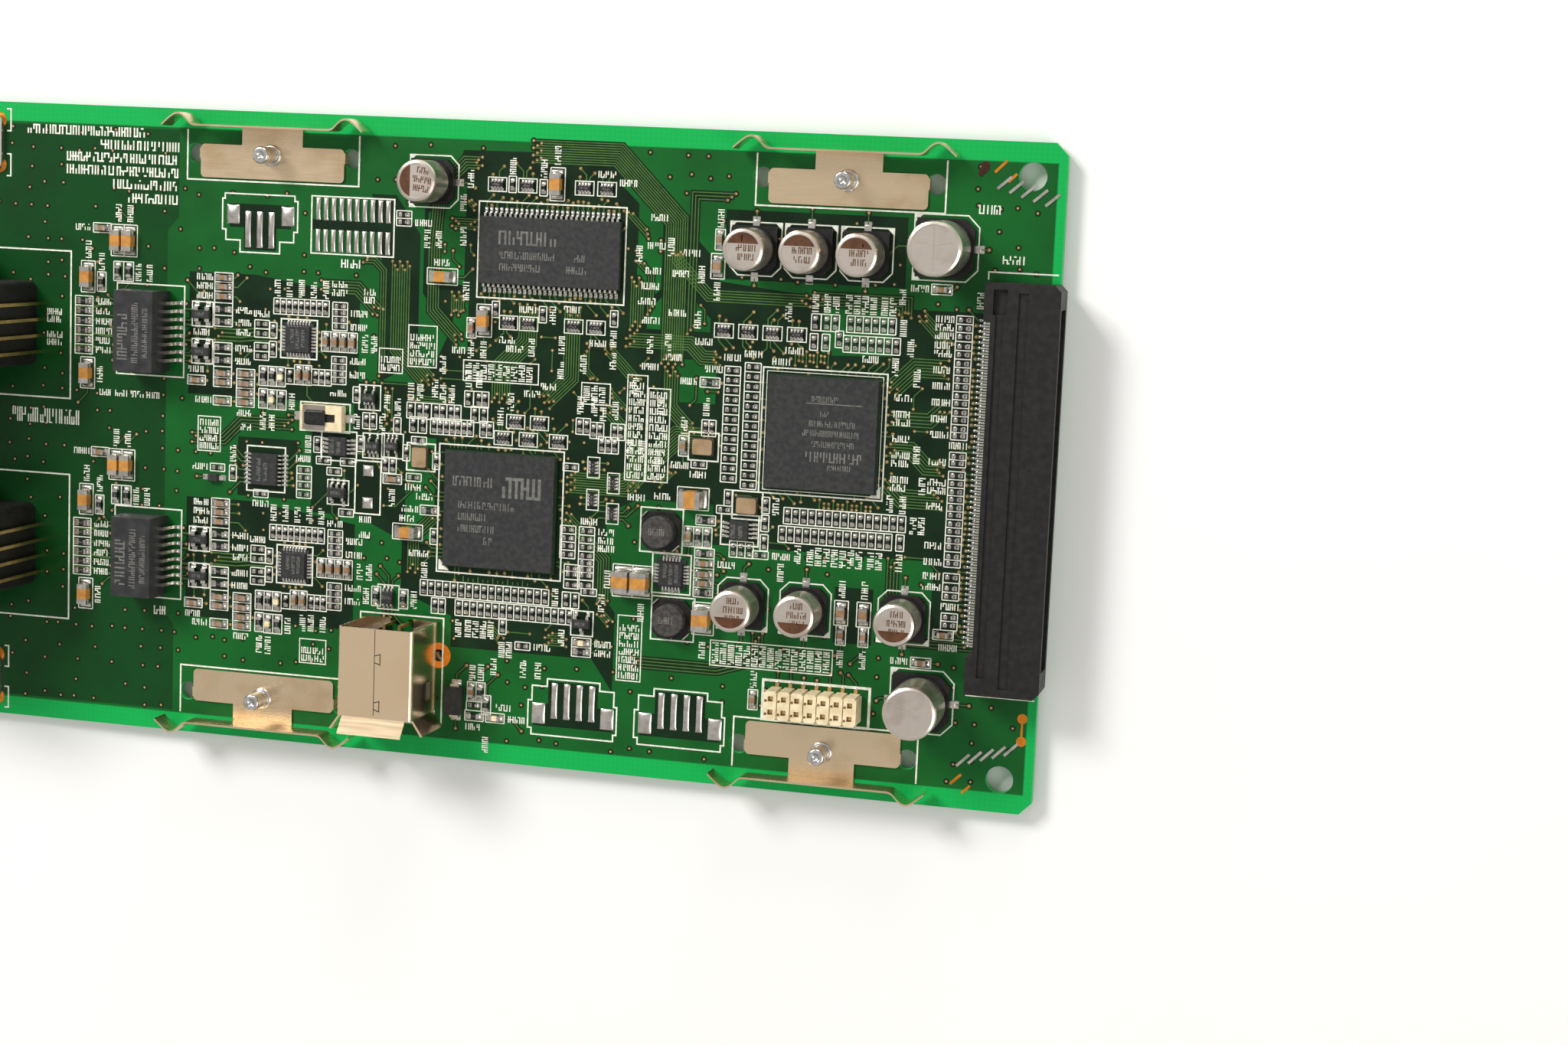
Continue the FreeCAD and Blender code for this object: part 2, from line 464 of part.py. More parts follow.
def switch_contacts():
    """End terminals and the domed contact under the button."""
    l = SWITCH_L / 2
    ends = [box(min(s * l, s * (l + 0.9)), -0.6, 0, max(s * l, s * (l + 0.9)), 0.6, 0.55) for s in (-1, 1)]
    dome = Part.makeCylinder(1.15, 0.15, V(BUTTON_X, 0, 0.35))
    return turned(group(ends + [dome]), 0, SWITCH_X, SWITCH_Y)


# ================================================================ fourteen-way socket
def header_places():
    x0 = -HEADER_PITCH * (HEADER_COLS - 1) / 2
    return [(x0 + i * HEADER_PITCH, s * HEADER_PITCH / 2) for i in range(HEADER_COLS) for s in (-1, 1)]


def header_body():
    length = HEADER_PITCH * HEADER_COLS
    s = block(0, 0, 0.3, length, HEADER_W, HEADER_H - 0.3)
    cuts = []
    for i in range(HEADER_COLS + 1):
        x = -length / 2 + i * HEADER_PITCH
        for y in (-HEADER_W / 2, HEADER_W / 2):
            cuts.append(block(x, y, 0, 0.5, 0.5, HEADER_H + 1))
        if 0 < i < HEADER_COLS:
            cuts.append(block(x, 0, HEADER_H - 0.35, 0.16, HEADER_W + 1, 1))
    for x, y in header_places():
        cuts.append(block(x, y, 0, 0.8, 0.8, HEADER_H + 1))
        cuts.append(block(x - 0.72, y - 0.3, HEADER_H - 0.6, 0.42, 0.42, 1))
    feet = [block(sx * (length / 2 - 0.35), sy * (HEADER_W / 2 - 0.7), 0, 0.5, 0.6, 0.3) for sx in (-1, 1) for sy in (-1, 1)]
    return turned(s.cut(group(cuts)).fuse(feet), 0, HEADER_X, HEADER_Y)


def header_contacts():
    parts = []
    for x, y in header_places():
        s = 1 if y > 0 else -1
        leaf = block(x, y, 0.4, 0.5, 0.5, HEADER_H - 1.0).fuse(
            box(x - 0.25, min(y, s * (HEADER_W / 2 + 0.6)), 0, x + 0.25, max(y, s * (HEADER_W / 2 + 0.6)), 0.28))
        leaf = leaf.fuse(block(x, y, 0.2, 0.5, 0.5, 0.4)).removeSplitter()
        parts.append(leaf)
    return turned(group(parts), 0, HEADER_X, HEADER_Y)


# ================================================================ moulded chips with formed leads
def moulding(lx, ly, z0, h, draft=0.12):
    """Chip body: two tapered halves meeting at the lead line."""
    mid = z0 + h * 0.5

    def ring(dx, z):
        a, b = lx / 2 - dx, ly / 2 - dx
        return Part.makePolygon([V(-a, -b, z), V(a, -b, z), V(a, b, z), V(-a, b, z), V(-a, -b, z)])
    lower = Part.makeLoft([ring(draft, z0), ring(0, mid)], True)
    upper = Part.makeLoft([ring(0, mid), ring(draft, z0 + h)], True)
    return lower.fuse(upper)


def formed_lead(y_body, y_toe, z_exit, width, t=0.15):
    """One gull-wing lead leaving the +y side of a body at x = 0."""
    knee = y_body + 0.35 * (y_toe - y_body)
    heel = y_body + 0.55 * (y_toe - y_body)
    pts = [(0, y_body, z_exit), (0, knee, z_exit), (0, heel, 0), (0, y_toe, 0), (0, y_toe, t),
           (0, heel + t, t), (0, knee + t, z_exit + t), (0, y_body, z_exit + t)]
    lead = prism(pts, (width, 0, 0))
    lead.translate(V(-width / 2, 0, 0))
    return lead


def leaded(x, y, angle, lx, ly, h, span, places, width):
    """Body and leads; places lists (position along x, side) and span is the toe-to-toe width."""
    z0 = 0.1
    body = turned(moulding(lx, ly, z0, h), angle, x, y)
    leads = []
    z_exit = z0 + h * 0.5 - 0.075
    lead = formed_lead(ly / 2, span / 2, z_exit, width)
    for px, side in places:
        one = lead.copy()
        if side < 0:
            one = one.mirror(V(0, 0, 0), V(0, 1, 0))
        one.translate(V(px, 0, 0))
        leads.append(turned(one, angle, x, y))
    return body, leads


def both_sides(count, pitch):
    return [((i - (count - 1) / 2) * pitch, s) for i in range(count) for s in (-1, 1)]


# x, y, angle, body length, body width, height, toe span, lead places, lead width
MEMORY = [(-76.7, 78.5, 0, 22.22, 10.16, 1.0, 11.9, both_sides(27, 0.8), 0.35)]
BUFFER = [(-122.2, 42.8, 90, 5.0, 4.4, 0.9, 6.6, both_sides(8, 0.65), 0.25),
          (-110.1, 47.2, 90, 3.0, 3.0, 0.85, 4.9, both_sides(4, 0.65), 0.3),
          (-45.8, 38.9, 90, 3.0, 3.0, 0.85, 4.9, both_sides(4, 0.65), 0.3)]
FIVE = [(-0.65, 1), (0.65, 1), (-0.65, -1), (0.0, -1), (0.65, -1)]
SMALL_OUTLINE = [(-105.2, 55.0, 0, 2.1, 1.3, 0.85, 2.9, FIVE, 0.25),
                 (-104.4, 47.6, 0, 2.3, 1.4, 0.9, 3.0, FIVE, 0.25),
                 (-101.3, 47.8, 180, 2.1, 1.3, 0.85, 2.9, FIVE, 0.25),
                 (-110.1, 40.0, 180, 3.0, 1.6, 1.0, 3.5, [(p[0] * 1.46, p[1]) for p in FIVE], 0.4),
                 (-69.9, 22.8, 0, 2.9, 1.4, 0.95, 3.0, [(-0.95, 1), (0.95, 1), (0.0, -1)], 0.45),
                 (-101.4, 24.3, 0, 2.0, 2.0, 0.75, 3.0, both_sides(3, 0.65), 0.3)]
CLAMP_DIODES = [(x, y, 0, 3.0, 1.4, 0.95, 3.2, [(-0.95, 1), (0.95, 1), (-0.8, -1), (0.95, -1)], 0.75)
                for x in (-133.3,) for y in (25.2, 31.0, 60.5, 66.3)]
TRANSFORMERS = [(-142.1, y, 90, 12.7, 6.8, 5.9, 10.1, both_sides(8, 1.27), 0.5) for y in (28.1, 63.3)]


def leaded_set(rows):
    made = [leaded(*row) for row in rows]
    return group([m[0] for m in made]), group([lead for m in made for lead in m[1]])


# ================================================================ area-array chips
PROCESSOR, LOGIC = (-83.5, 39.0, 18.0, 1.2), (-33.8, 54.1, 17.0, 1.45)


def array_substrate(x, y, side, height):
    """Laminate carrier with its solder balls."""
    pads = []
    pitch = 1.0
    n = int(side / pitch) - 1
    for i in range(n):
        for j in range(n):
            if min(i, j, n - 1 - i, n - 1 - j) < 2:
                pads.append(block(x + (i - (n - 1) / 2) * pitch, y + (j - (n - 1) / 2) * pitch, 0, 0.45, 0.45, 0.25))
    return block(x, y, 0.25, side, side, 0.3).fuse(pads)


def array_cap(x, y, side, height):
    z = 0.55
    return turned(moulding(side - 0.3, side - 0.3, z, height - z, 0.1), 0, x, y)


# ================================================================ flat no-lead chips
FLAT_CHIPS = [(-117.1, 28.1, 5.0, 0.85, 8), (-117.1, 63.3, 5.0, 0.85, 8), (-56.1, 31.5, 4.6, 0.85, 6)]


def flat_chip_bodies():
    parts = []
    for x, y, side, h, n in FLAT_CHIPS:
        parts.append(block(x, y, STANDOFF, side - 0.02, side - 0.02, 0.2).cut(group(flat_chip_lands(x, y, side, n))))
        parts.append(turned(moulding(side - 0.9, side - 0.9, 0.26, h - 0.26, 0.12), 0, x, y))
    return group(parts)


def flat_chip_lands(x, y, side, n):
    lands = []
    pitch = 0.5
    for i in range(n):
        d = (i - (n - 1) / 2) * pitch
        for s in (-1, 1):
            lands.append(block(x + d, y + s * (side / 2 - 0.1), 0, 0.25, 0.5, 0.3))
            lands.append(block(x + s * (side / 2 - 0.1), y + d, 0, 0.5, 0.25, 0.3))
    return lands


# ================================================================ inductors and oscillators
INDUCTORS = [(-57.8, 38.0), (-55.7, 24.8)]
INDUCTOR_SIDE, INDUCTOR_R, INDUCTOR_H = 5.8, 2.4, 3.0


def inductor_bases():
    parts = []
    for x, y in INDUCTORS:
        s = block(0, 0, 0.12, INDUCTOR_SIDE, INDUCTOR_SIDE, 0.9)
        s = s.makeChamfer(1.0, edges_along(s, V(0, 0, 1)))
        parts.append(turned(s, 0, x, y))
    return group(parts)


def inductor_cores():
    r, h = INDUCTOR_R, INDUCTOR_H
    side = [(0, 0, 1.02), (r, 0, 1.02), (r, 0, 1.5), (r - 0.55, 0, 1.5), (r - 0.55, 0, h - 0.65),
            (r, 0, h - 0.65), (r, 0, h - 0.12), (r - 0.12, 0, h), (0, 0, h)]
    core = Part.Face(Part.makePolygon([V(*p) for p in side + side[:1]])).revolve(V(0, 0, 0), V(0, 0, 1), 360)
    return group([turned(Part.makeSolid(core.Shells[0]), 0, x, y) for x, y in INDUCTORS])


def corner_strip(s, inner, outer, height):
    """Diagonal strip across the upper left (s 1) or lower right (s -1) corner."""
    a = INDUCTOR_SIDE / 2
    return prism([(s * -a, s * (a - inner), 0), (s * (-a + inner), s * a, 0),
                  (s * (-a + outer), s * a, 0), (s * -a, s * (a - outer), 0)], (0, 0, height))


def inductor_clips():
    """Folded corner terminals: a foot under the base and a wall across its cut corner."""
    clips = [corner_strip(s, 2.1, 0.7, 0.1).fuse(corner_strip(s, 0.95, 0.7, 1.3)).removeSplitter() for s in (1, -1)]
    return group([turned(clip, 0, x, y) for x, y in INDUCTORS for clip in clips])


OSCILLATORS = [(-96.6, 46.4, 90), (-51.9, 51.0, 0), (-44.8, 42.7, 0)]
OSC_L, OSC_W = 3.3, 2.6


def oscillator_bases():
    return group([turned(block(0, 0, STANDOFF, OSC_L, OSC_W, 0.55), a, x, y) for x, y, a in OSCILLATORS])


def oscillator_lids():
    return group([turned(rounded(0, 0, STANDOFF + 0.55, OSC_L - 0.3, OSC_W - 0.3, 0.35, 0.35), a, x, y)
                  for x, y, a in OSCILLATORS])


# ================================================================ two-ended chips: x, y, turned
def row_x(x0, pitch, n, y, turn=90):
    return [(x0 + i * pitch, y, turn) for i in range(n)]


def col_y(x, ys, turn=0):
    return [(x, y, turn) for y in ys]


def twice(places, shift=-35.2):
    """The two network ports have the same layout, one below the other."""
    return places + [(x, y + shift, t) for x, y, t in places]


RESISTORS_0402 = (
    twice(row_x(-120.8, 1.0, 9, 68.2) + col_y(-110.4, (68.7, 67.7, 66.6, 65.6, 60.4, 59.3, 58.3, 57.3))
          + col_y(-123.3, (65.3, 63.8, 61.8, 60.3)) + [(-121.4, 64.4, 90), (-121.4, 61.5, 90)]
          + [(-118.5, 57.5, 90), (-114.2, 57.6, 90), (-113.2, 57.6, 90), (-112.2, 57.6, 90)])
    + [(-107.4, 55.3, 90), (-105.7, 51.4, 90), (-104.6, 51.4, 90), (-100.6, 51.0, 90),
       (-106.5, 47.8, 90), (-113.7, 47.2, 90), (-112.6, 44.8, 0), (-108.6, 44.8, 0), (-110.8, 43.2, 0),
       (-102.4, 44.8, 90), (-101.2, 44.8, 90), (-99.0, 46.9, 90), (-97.0, 48.9, 0), (-97.7, 43.2, 0),
       (-94.1, 45.9, 90), (-108.7, 36.9, 0), (-94.2, 34.3, 90), (-130.4, 42.5, 0), (-127.8, 41.8, 90),
       (-123.0, 38.9, 0)]
    + col_y(-115.8, (43.1, 41.9, 40.7, 39.3))
    + [(x, 53.5, 90) for x in (-98.5, -97.0, -95.9, -94.3, -93.3, -91.9, -90.9, -88.1, -86.6)]
    + [(x, 55.8, 90) for x in (-89.2, -87.5, -86.5)]
    + [(x, 51.3, 90) for x in (-98.0, -96.4, -94.6, -93.6, -92.6, -91.6, -90.7, -89.7, -88.8, -86.6, -85.6)]
    + row_x(-95.6, 1.23, 17, 26.3) + [(-93.7, 23.6, 90), (-92.6, 23.6, 90), (-71.9, 23.6, 90)]
    + row_x(-89.8, 1.19, 15, 23.6) + [(-82.6, 21.3, 90), (-79.3, 18.5, 0)]
    + [(-71.3, 52.8, 90), (-70.2, 52.8, 90), (-69.1, 52.3, 90), (-68.1, 52.3, 90), (-65.8, 52.3, 90),
       (-64.8, 52.3, 90), (-67.7, 50.2, 90), (-66.7, 50.2, 90), (-65.7, 50.2, 90), (-72.5, 46.5, 0)]
    + col_y(-72.6, (37.0, 35.7, 34.5, 33.2)) + col_y(-69.6, (37.0, 35.7, 34.5, 33.2, 32.1, 31.1, 30.2, 28.7))
    + [(-71.8, 31.1, 0), (-71.8, 30.2, 0), (-71.8, 28.6, 0), (-69.0, 27.7, 0), (-72.6, 26.2, 90), (-71.1, 26.2, 90)]
    + [(-47.9, 62.6 - 1.46 * i, 0) for i in range(12)] + [(-44.8, 63.3 - 1.465 * i, 0) for i in range(13)]
    + [(-35.7, 70.4, 90), (-34.0, 70.4, 90), (-32.7, 70.4, 90)] + row_x(-30.4, 1.23, 6, 70.4)
    + [(-35.8, 67.5, 90), (-34.0, 67.5, 90), (-32.0, 68.1, 90)] + row_x(-30.8, 1.22, 7, 67.5)
    + row_x(-38.6, 1.23, 15, 41.6) + row_x(-39.3, 1.23, 14, 38.8) + [(-21.5, 38.8, 90)]
    + col_y(-13.6, (71.9, 70.7, 69.5, 68.1, 66.9, 65.6, 64.5, 63.3, 62.2, 60.9, 59.8, 58.5, 57.4, 56.1, 55.1,
                    52.1, 51.1, 49.3, 48.1, 46.9, 45.8, 44.6, 43.5, 42.2, 41.1, 39.8, 38.8, 37.4, 36.4,
                    34.3, 32.7, 31.5, 28.4, 27.2))
    + [(-46.7, 36.0, 90), (-45.5, 36.0, 90), (-44.2, 36.0, 90), (-42.5, 35.4, 0), (-42.0, 42.9, 90),
       (-42.0, 40.2, 90), (-42.0, 37.3, 90), (-47.8, 43.6, 90), (-48.3, 41.8, 0), (-52.5, 48.3, 0),
       (-51.7, 53.8, 90), (-50.7, 53.8, 90), (-83.1, 88.4, 90), (-78.2, 88.1, 90), (-77.7, 69.2, 90),
       (-66.5, 69.2, 90), (-85.2, 69.6, 90), (-100.3, 83.1, 0), (-100.3, 82.0, 0), (-86.9, 8.6, 0)])

RESISTORS_0603 = (
    twice(col_y(-129.8, (67.2, 65.3, 61.3, 59.3)) + [(-122.9, 57.3, 90), (-121.4, 57.3, 90),
                                                     (-122.9, 53.8, 90), (-119.8, 53.7, 90)]
          + col_y(-153.6, (67.3, 65.8, 64.2, 62.7, 61.2, 59.7))
          + [(-150.6, 70.4, 90), (-147.8, 72.2, 90), (-145.9, 72.2, 90)])
    + [(-52.2, 37.4, 90), (-50.8, 37.4, 90), (-51.1, 40.0, 0), (-51.1, 35.0, 0), (-51.1, 29.1, 0),
       (-51.3, 60.6, 0), (-69.9, 18.4, 0), (-95.0, 38.3, 0), (-85.9, 10.7, 90), (-84.9, 8.8, 90),
       (-86.8, 6.9, 0), (-103.4, 24.3, 90), (-98.9, 24.2, 90)])

CAPACITORS_0603 = (
    twice(col_y(-129.8, (72.1, 70.7, 69.2, 57.3, 55.9, 53.0)) + col_y(-125.9, (57.4, 55.9, 54.4, 53.0))
          + [(-134.2, 56.0, 0), (-117.0, 57.8, 90), (-115.6, 57.8, 90), (-150.6, 78.8, 0)]
          + [(x, 63.2, 90) for x in (-112.6, -111.1, -109.7, -108.2)])
    + [(-101.2, 42.7, 0), (-87.3, 10.7, 90), (-55.0, 50.9, 90), (-53.6, 37.4, 90), (-51.1, 33.5, 0),
       (-51.1, 31.9, 0), (-51.1, 30.5, 0), (-50.6, 81.7, 90), (-17.2, 76.1, 0), (-17.5, 21.3, 0),
       (-42.7, 13.5, 90), (-14.4, 25.7, 0), (-29.7, 24.4, 90), (-26.3, 24.4, 90), (-89.0, 66.6, 90)])

CAPACITORS_0805 = [(-50.8, 77.8, 90), (-29.8, 27.7, 90), (-26.4, 27.7, 90)]
CAPACITORS_1206 = (twice([(-147.8, 77.0, 90), (-145.8, 77.0, 90), (-152.9, 71.1, 90), (-152.9, 56.0, 90)])
                   + [(-76.1, 88.7, 90), (-87.0, 67.8, 90), (-93.9, 74.1, 0), (-98.5, 34.7, 0)])
CAPACITORS_1210 = [(-63.6, 29.9, 90), (-60.7, 29.9, 90), (-50.9, 25.1, 90), (-53.2, 43.1, 0)]
LEDS = twice([(-120.0, 57.3, 90), (-121.4, 53.7, 90)]) + [(-69.9, 19.8, 0), (-83.4, 6.9, 0)]
ARRAYS = ([(x, 88.3, 0) for x in (-85.5, -80.7, -71.8, -68.3)] + [(x, 67.7, 0) for x in (-83.1, -79.9, -72.8, -69.3)]
          + [(-81.5, 52.8, 0), (-77.7, 52.8, 0), (-83.4, 50.2, 0), (-79.4, 50.2, 0), (-74.6, 50.2, 0)]
          + [(x, 68.4, 0) for x in (-49.5, -45.8, -42.1, -38.4)]
          + [(-68.9, 46.7, 90), (-65.7, 44.5, 90), (-68.9, 41.8, 90), (-65.7, 39.9, 90)])
POWER_DIODES = [(-89.8, 9.2, 90, 4.3, 2.6, 2.1), (-130.9, 40.9, 180, 1.8, 1.3, 0.9)]


def chips(places, size, full=True):
    """Bodies between their metal ends, and the ends."""
    l, w, h = size
    e = l * END_SHARE
    bodies, ends = [], []
    for x, y, a in places:
        bodies.append(turned(block(0, 0, STANDOFF, l - 2 * e, w - 0.02, h - STANDOFF - 0.01), a, x, y))
        ends += [turned(block(s * (l - e) / 2, 0, 0, e, w, h), a, x, y) for s in (-1, 1)]
    return bodies, ends


def arrays():
    """Four-element resistor blocks with eight ends."""
    bodies, ends = [], []
    for x, y, a in ARRAYS:
        pads = [((i - 1.5) * 0.5, s * 0.42) for i in range(4) for s in (-1, 1)]
        core = block(0, 0, STANDOFF, 2.0, 0.98, 0.4)
        cores = core.cut(group([block(px, py, 0, 0.3, 0.2, 1) for px, py in pads]))
        bodies.append(turned(cores, a, x, y))
        ends += [turned(block(px, py, 0, 0.3, 0.2, 0.47), a, x, y) for px, py in pads]
    return group(bodies), group(ends)


def power_diodes():
    bodies, leads = [], []
    for x, y, a, l, w, h in POWER_DIODES:
        bodies.append(turned(moulding(l, w, 0.1, h - 0.1, 0.15), a, x, y))
        for s in (-1, 1):
            tab = box(min(s * l / 2, s * (l / 2 + 0.45)), -w * 0.28, 0, max(s * l / 2, s * (l / 2 + 0.45)), w * 0.28, h * 0.45)
            leads.append(turned(tab, a, x, y))
    return group(bodies), group(leads)


# ================================================================ bare connector footprints
PAD_T = 0.08


def solder_pads():
    """Tinned lands of the connector positions that are left empty."""
    pads = []
    for i in range(10):
        x = -114.3 + i * 1.27
        pads += [(x, 83.4, 0.78, 3.4), (x, 78.6, 0.78, 3.4)]
    pads += [(-123.95 + i * 1.95, 79.7, 1.0, 5.5) for i in (-1, 0, 1)] + [(-128.4, 81.95, 2.1, 2.9), (-119.3, 81.95, 2.1, 2.9)]
    for x in (-70.9, -53.9):
        pads += [(x + (i - 1.5) * 2.0, 10.45, 1.0, 5.5) for i in range(4)]
        pads += [(x + s * 5.5, 8.35, 2.1, 3.2) for s in (-1, 1)]
    pads += [(-105.2, 43.7, 1.7, 1.7), (-105.2, 38.7, 1.7, 1.7)]
    return group([block(x, y, 0, w, l, PAD_T) for x, y, w, l in pads])


# ================================================================ all nodes
def build():
    nodes = {"circuit_board": circuit_board()}
    names = ("left", "right")
    for name, x in zip(names, SPRING_X):
        rear = spring(x)
        nodes["spring_rear_" + name] = rear
        nodes["spring_front_" + name] = mirrored_front(rear)
    nodes["spring_rivets"] = spring_rivets()
    nodes["card_connector_housing"] = card_housing()
    nodes["card_connector_contacts"] = card_contacts()
    nodes["usb_shell"] = usb_shell()
    nodes["usb_insulator"] = usb_insulator()
    nodes["usb_contacts"] = usb_contacts()
    for name, y in zip(("front", "rear"), JACK_Y):
        nodes["jack_%s_housing" % name] = jack_housing(y)
        nodes["jack_%s_contacts" % name] = jack_contacts(y)
    nodes["panel_terminals"] = panel_terminals()

    for label, places, r, h in (("small", CAN_SMALL, CAN_SMALL_R, CAN_SMALL_H), ("large", CAN_LARGE, CAN_LARGE_R, CAN_LARGE_H)):
        nodes["capacitor_%s_cans" % label] = group([turned(can(r, h, label == "large"), a, x, y) for x, y, a in places])
    sized = [(p, CAN_SMALL_R) for p in CAN_SMALL] + [(p, CAN_LARGE_R) for p in CAN_LARGE]
    nodes["capacitor_plinths"] = group([turned(can_base(r), a, x, y) for (x, y, a), r in sized])
    nodes["capacitor_leads"] = group([turned(s, a, x, y) for (x, y, a), r in sized for s in can_leads(r)])

    nodes["switch_housing"] = switch_housing()
    nodes["switch_cover"] = switch_cover()
    nodes["switch_button"] = switch_button()
    nodes["switch_contacts"] = switch_contacts()
    nodes["header_socket"] = header_body()
    nodes["header_contacts"] = header_contacts()

    for name, rows in (("memory_chip", MEMORY), ("buffer_chips", BUFFER), ("regulators", SMALL_OUTLINE),
                       ("clamp_diodes", CLAMP_DIODES), ("transformers", TRANSFORMERS)):
        nodes[name], nodes[name + "_leads"] = leaded_set(rows)
    for name, chip in (("processor", PROCESSOR), ("logic_chip", LOGIC)):
        nodes[name + "_cap"] = array_cap(*chip)
        nodes[name + "_substrate"] = array_substrate(*chip)
    nodes["flat_chips"] = flat_chip_bodies()
    nodes["flat_chip_lands"] = group([s for x, y, side, h, n in FLAT_CHIPS for s in flat_chip_lands(x, y, side, n)])
    nodes["inductor_bases"] = inductor_bases()
    nodes["inductor_cores"] = inductor_cores()
    nodes["inductor_clips"] = inductor_clips()
    nodes["oscillator_bases"] = oscillator_bases()
    nodes["oscillator_lids"] = oscillator_lids()

    small = [chips(RESISTORS_0402, CHIP_0402), chips(RESISTORS_0603, CHIP_0603)]
    nodes["chip_resistors"] = group([b for s in small for b in s[0]])
    nodes["chip_resistor_ends"] = group([e for s in small for e in s[1]])
    tan = [chips(CAPACITORS_0603, (1.6, 0.8, 0.75)), chips(CAPACITORS_0805, CHIP_0805)]
    nodes["chip_capacitors"] = group([b for s in tan for b in s[0]])
    nodes["chip_capacitor_ends"] = group([e for s in tan for e in s[1]])
    big = [chips(CAPACITORS_1206, CHIP_1206), chips(CAPACITORS_1210, CHIP_1210)]
    nodes["power_capacitors"] = group([b for s in big for b in s[0]])
    nodes["power_capacitor_ends"] = group([e for s in big for e in s[1]])
    nodes["resistor_arrays"], nodes["resistor_array_ends"] = arrays()
    lens, ends = chips(LEDS, (1.6, 0.8, 0.6))
    nodes["indicator_lenses"], nodes["indicator_ends"] = group(lens), group(ends)
    nodes["power_diodes"], nodes["power_diode_leads"] = power_diodes()
    nodes["solder_pads"] = solder_pads()
    return nodes


def main():
    nodes = build()
    whole = FreeCAD.BoundBox()
    for shape in nodes.values():
        whole.add(shape.BoundBox)
    shift = V(-whole.Center.x, -whole.Center.y, -whole.ZMin)
    os.makedirs("parts", exist_ok=True)
    for name, shape in nodes.items():
        shape.translate(shift)
        shape.exportStep("parts/%s.step" % name)
    print("nodes", len(nodes), "shift", [round(v, 4) for v in shift])
    print("size", [round(v, 3) for v in (whole.XLength, whole.YLength, whole.ZLength)])


main()
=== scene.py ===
# %% [markdown]
# # A network interface board
# The object is a green circuit board with network jacks, a square serial socket, a long card connector, can
# capacitors and a few hundred chip parts. Its solids come from CAD and stay as they are: this script adds
# the thin things that a solid model leaves out, such as copper tracks, solder and white print, and gives
# every part a finish.

# %% Load the frame
import json
import math
import random
import bpy
import numpy as np
from mathutils import Matrix, Vector


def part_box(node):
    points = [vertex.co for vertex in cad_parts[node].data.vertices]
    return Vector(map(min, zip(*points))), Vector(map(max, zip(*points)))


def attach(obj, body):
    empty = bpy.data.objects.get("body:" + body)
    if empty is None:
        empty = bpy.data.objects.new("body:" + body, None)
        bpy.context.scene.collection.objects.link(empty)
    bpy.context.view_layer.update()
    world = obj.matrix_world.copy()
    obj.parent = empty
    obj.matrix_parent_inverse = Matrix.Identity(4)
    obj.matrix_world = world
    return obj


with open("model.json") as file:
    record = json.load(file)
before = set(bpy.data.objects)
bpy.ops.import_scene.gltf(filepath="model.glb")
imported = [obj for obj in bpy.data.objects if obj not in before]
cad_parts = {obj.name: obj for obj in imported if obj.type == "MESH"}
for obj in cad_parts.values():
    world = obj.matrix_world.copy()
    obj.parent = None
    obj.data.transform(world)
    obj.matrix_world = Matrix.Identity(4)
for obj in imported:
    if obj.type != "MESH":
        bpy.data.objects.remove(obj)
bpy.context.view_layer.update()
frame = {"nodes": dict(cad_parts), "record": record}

nodes = frame["nodes"]

# %% [markdown]
# ## Where things are
# A circuit board is laid out in millimetres from one corner. The corner used here is the right-hand front
# one, on the component side, so x runs from 0 down to minus the board's length. Reading it from the CAD
# board keeps every printed line in register with the solids.

# %% Board coordinates
MM = 0.001
board_low, board_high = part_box("circuit_board")
CORNER = Vector((board_high.x, board_low.y, board_high.z))
BOARD_L, BOARD_W, BOARD_T = ((board_high - board_low) / MM)[:]


def place(x, y, z):
    """Board millimetres to the row frame in metres."""
    return (CORNER.x + x * MM, CORNER.y + y * MM, CORNER.z + z * MM)


print("board", round(BOARD_L, 2), "x", round(BOARD_W, 2), "x", round(BOARD_T, 2), "mm")

# %% [markdown]
# ## Reading the CAD solids
# Identical chips share one CAD node. Welding a node's vertices by place and following its edges splits it
# into its separate solids, and each solid's box tells where solder, tracks and print belong. The solids are
# only read.

# %% Boxes of the separate solids in a node
def solid_boxes(node):
    """Rows of x0, y0, z0, x1, y1, z1 in board millimetres, one for each separate solid."""
    mesh = nodes[node].data
    co = np.empty(len(mesh.vertices) * 3)
    mesh.vertices.foreach_get("co", co)
    co = (co.reshape(-1, 3) - np.array(CORNER)) / MM
    ends = np.empty(len(mesh.edges) * 2, dtype=np.int64)
    mesh.edges.foreach_get("vertices", ends)
    weld = np.unique(np.round(co * 1000).astype(np.int64), axis=0, return_inverse=True)[1].reshape(-1)
    label = np.arange(weld.max() + 1)
    a, b = weld[ends.reshape(-1, 2)].T
    while True:
        low = np.minimum(label[a], label[b])
        before = label.copy()
        np.minimum.at(label, a, low)
        np.minimum.at(label, b, low)
        label = label[label]
        if (label == before).all():
            break
    owner = label[weld]
    rows = [np.concatenate((co[owner == k].min(0), co[owner == k].max(0))) for k in np.unique(owner)]
    return [[round(float(v), 4) for v in row] for row in rows]


def middle(row):
    """The middle of a box, seen from above."""
    return (row[0] + row[3]) / 2, (row[1] + row[4]) / 2


print("solids in the small cans:", len(solid_boxes("capacitor_small_cans")))

# %% [markdown]
# ## Building thin shapes
# Tracks, print and lands are all thin plates cut to an outline. One small builder collects them by the
# hundred into a single mesh, which is far lighter than one object each. A line is a ribbon with mitred
# corners, as a plotter draws it, and every plate has side walls, so it has a real edge in low light.

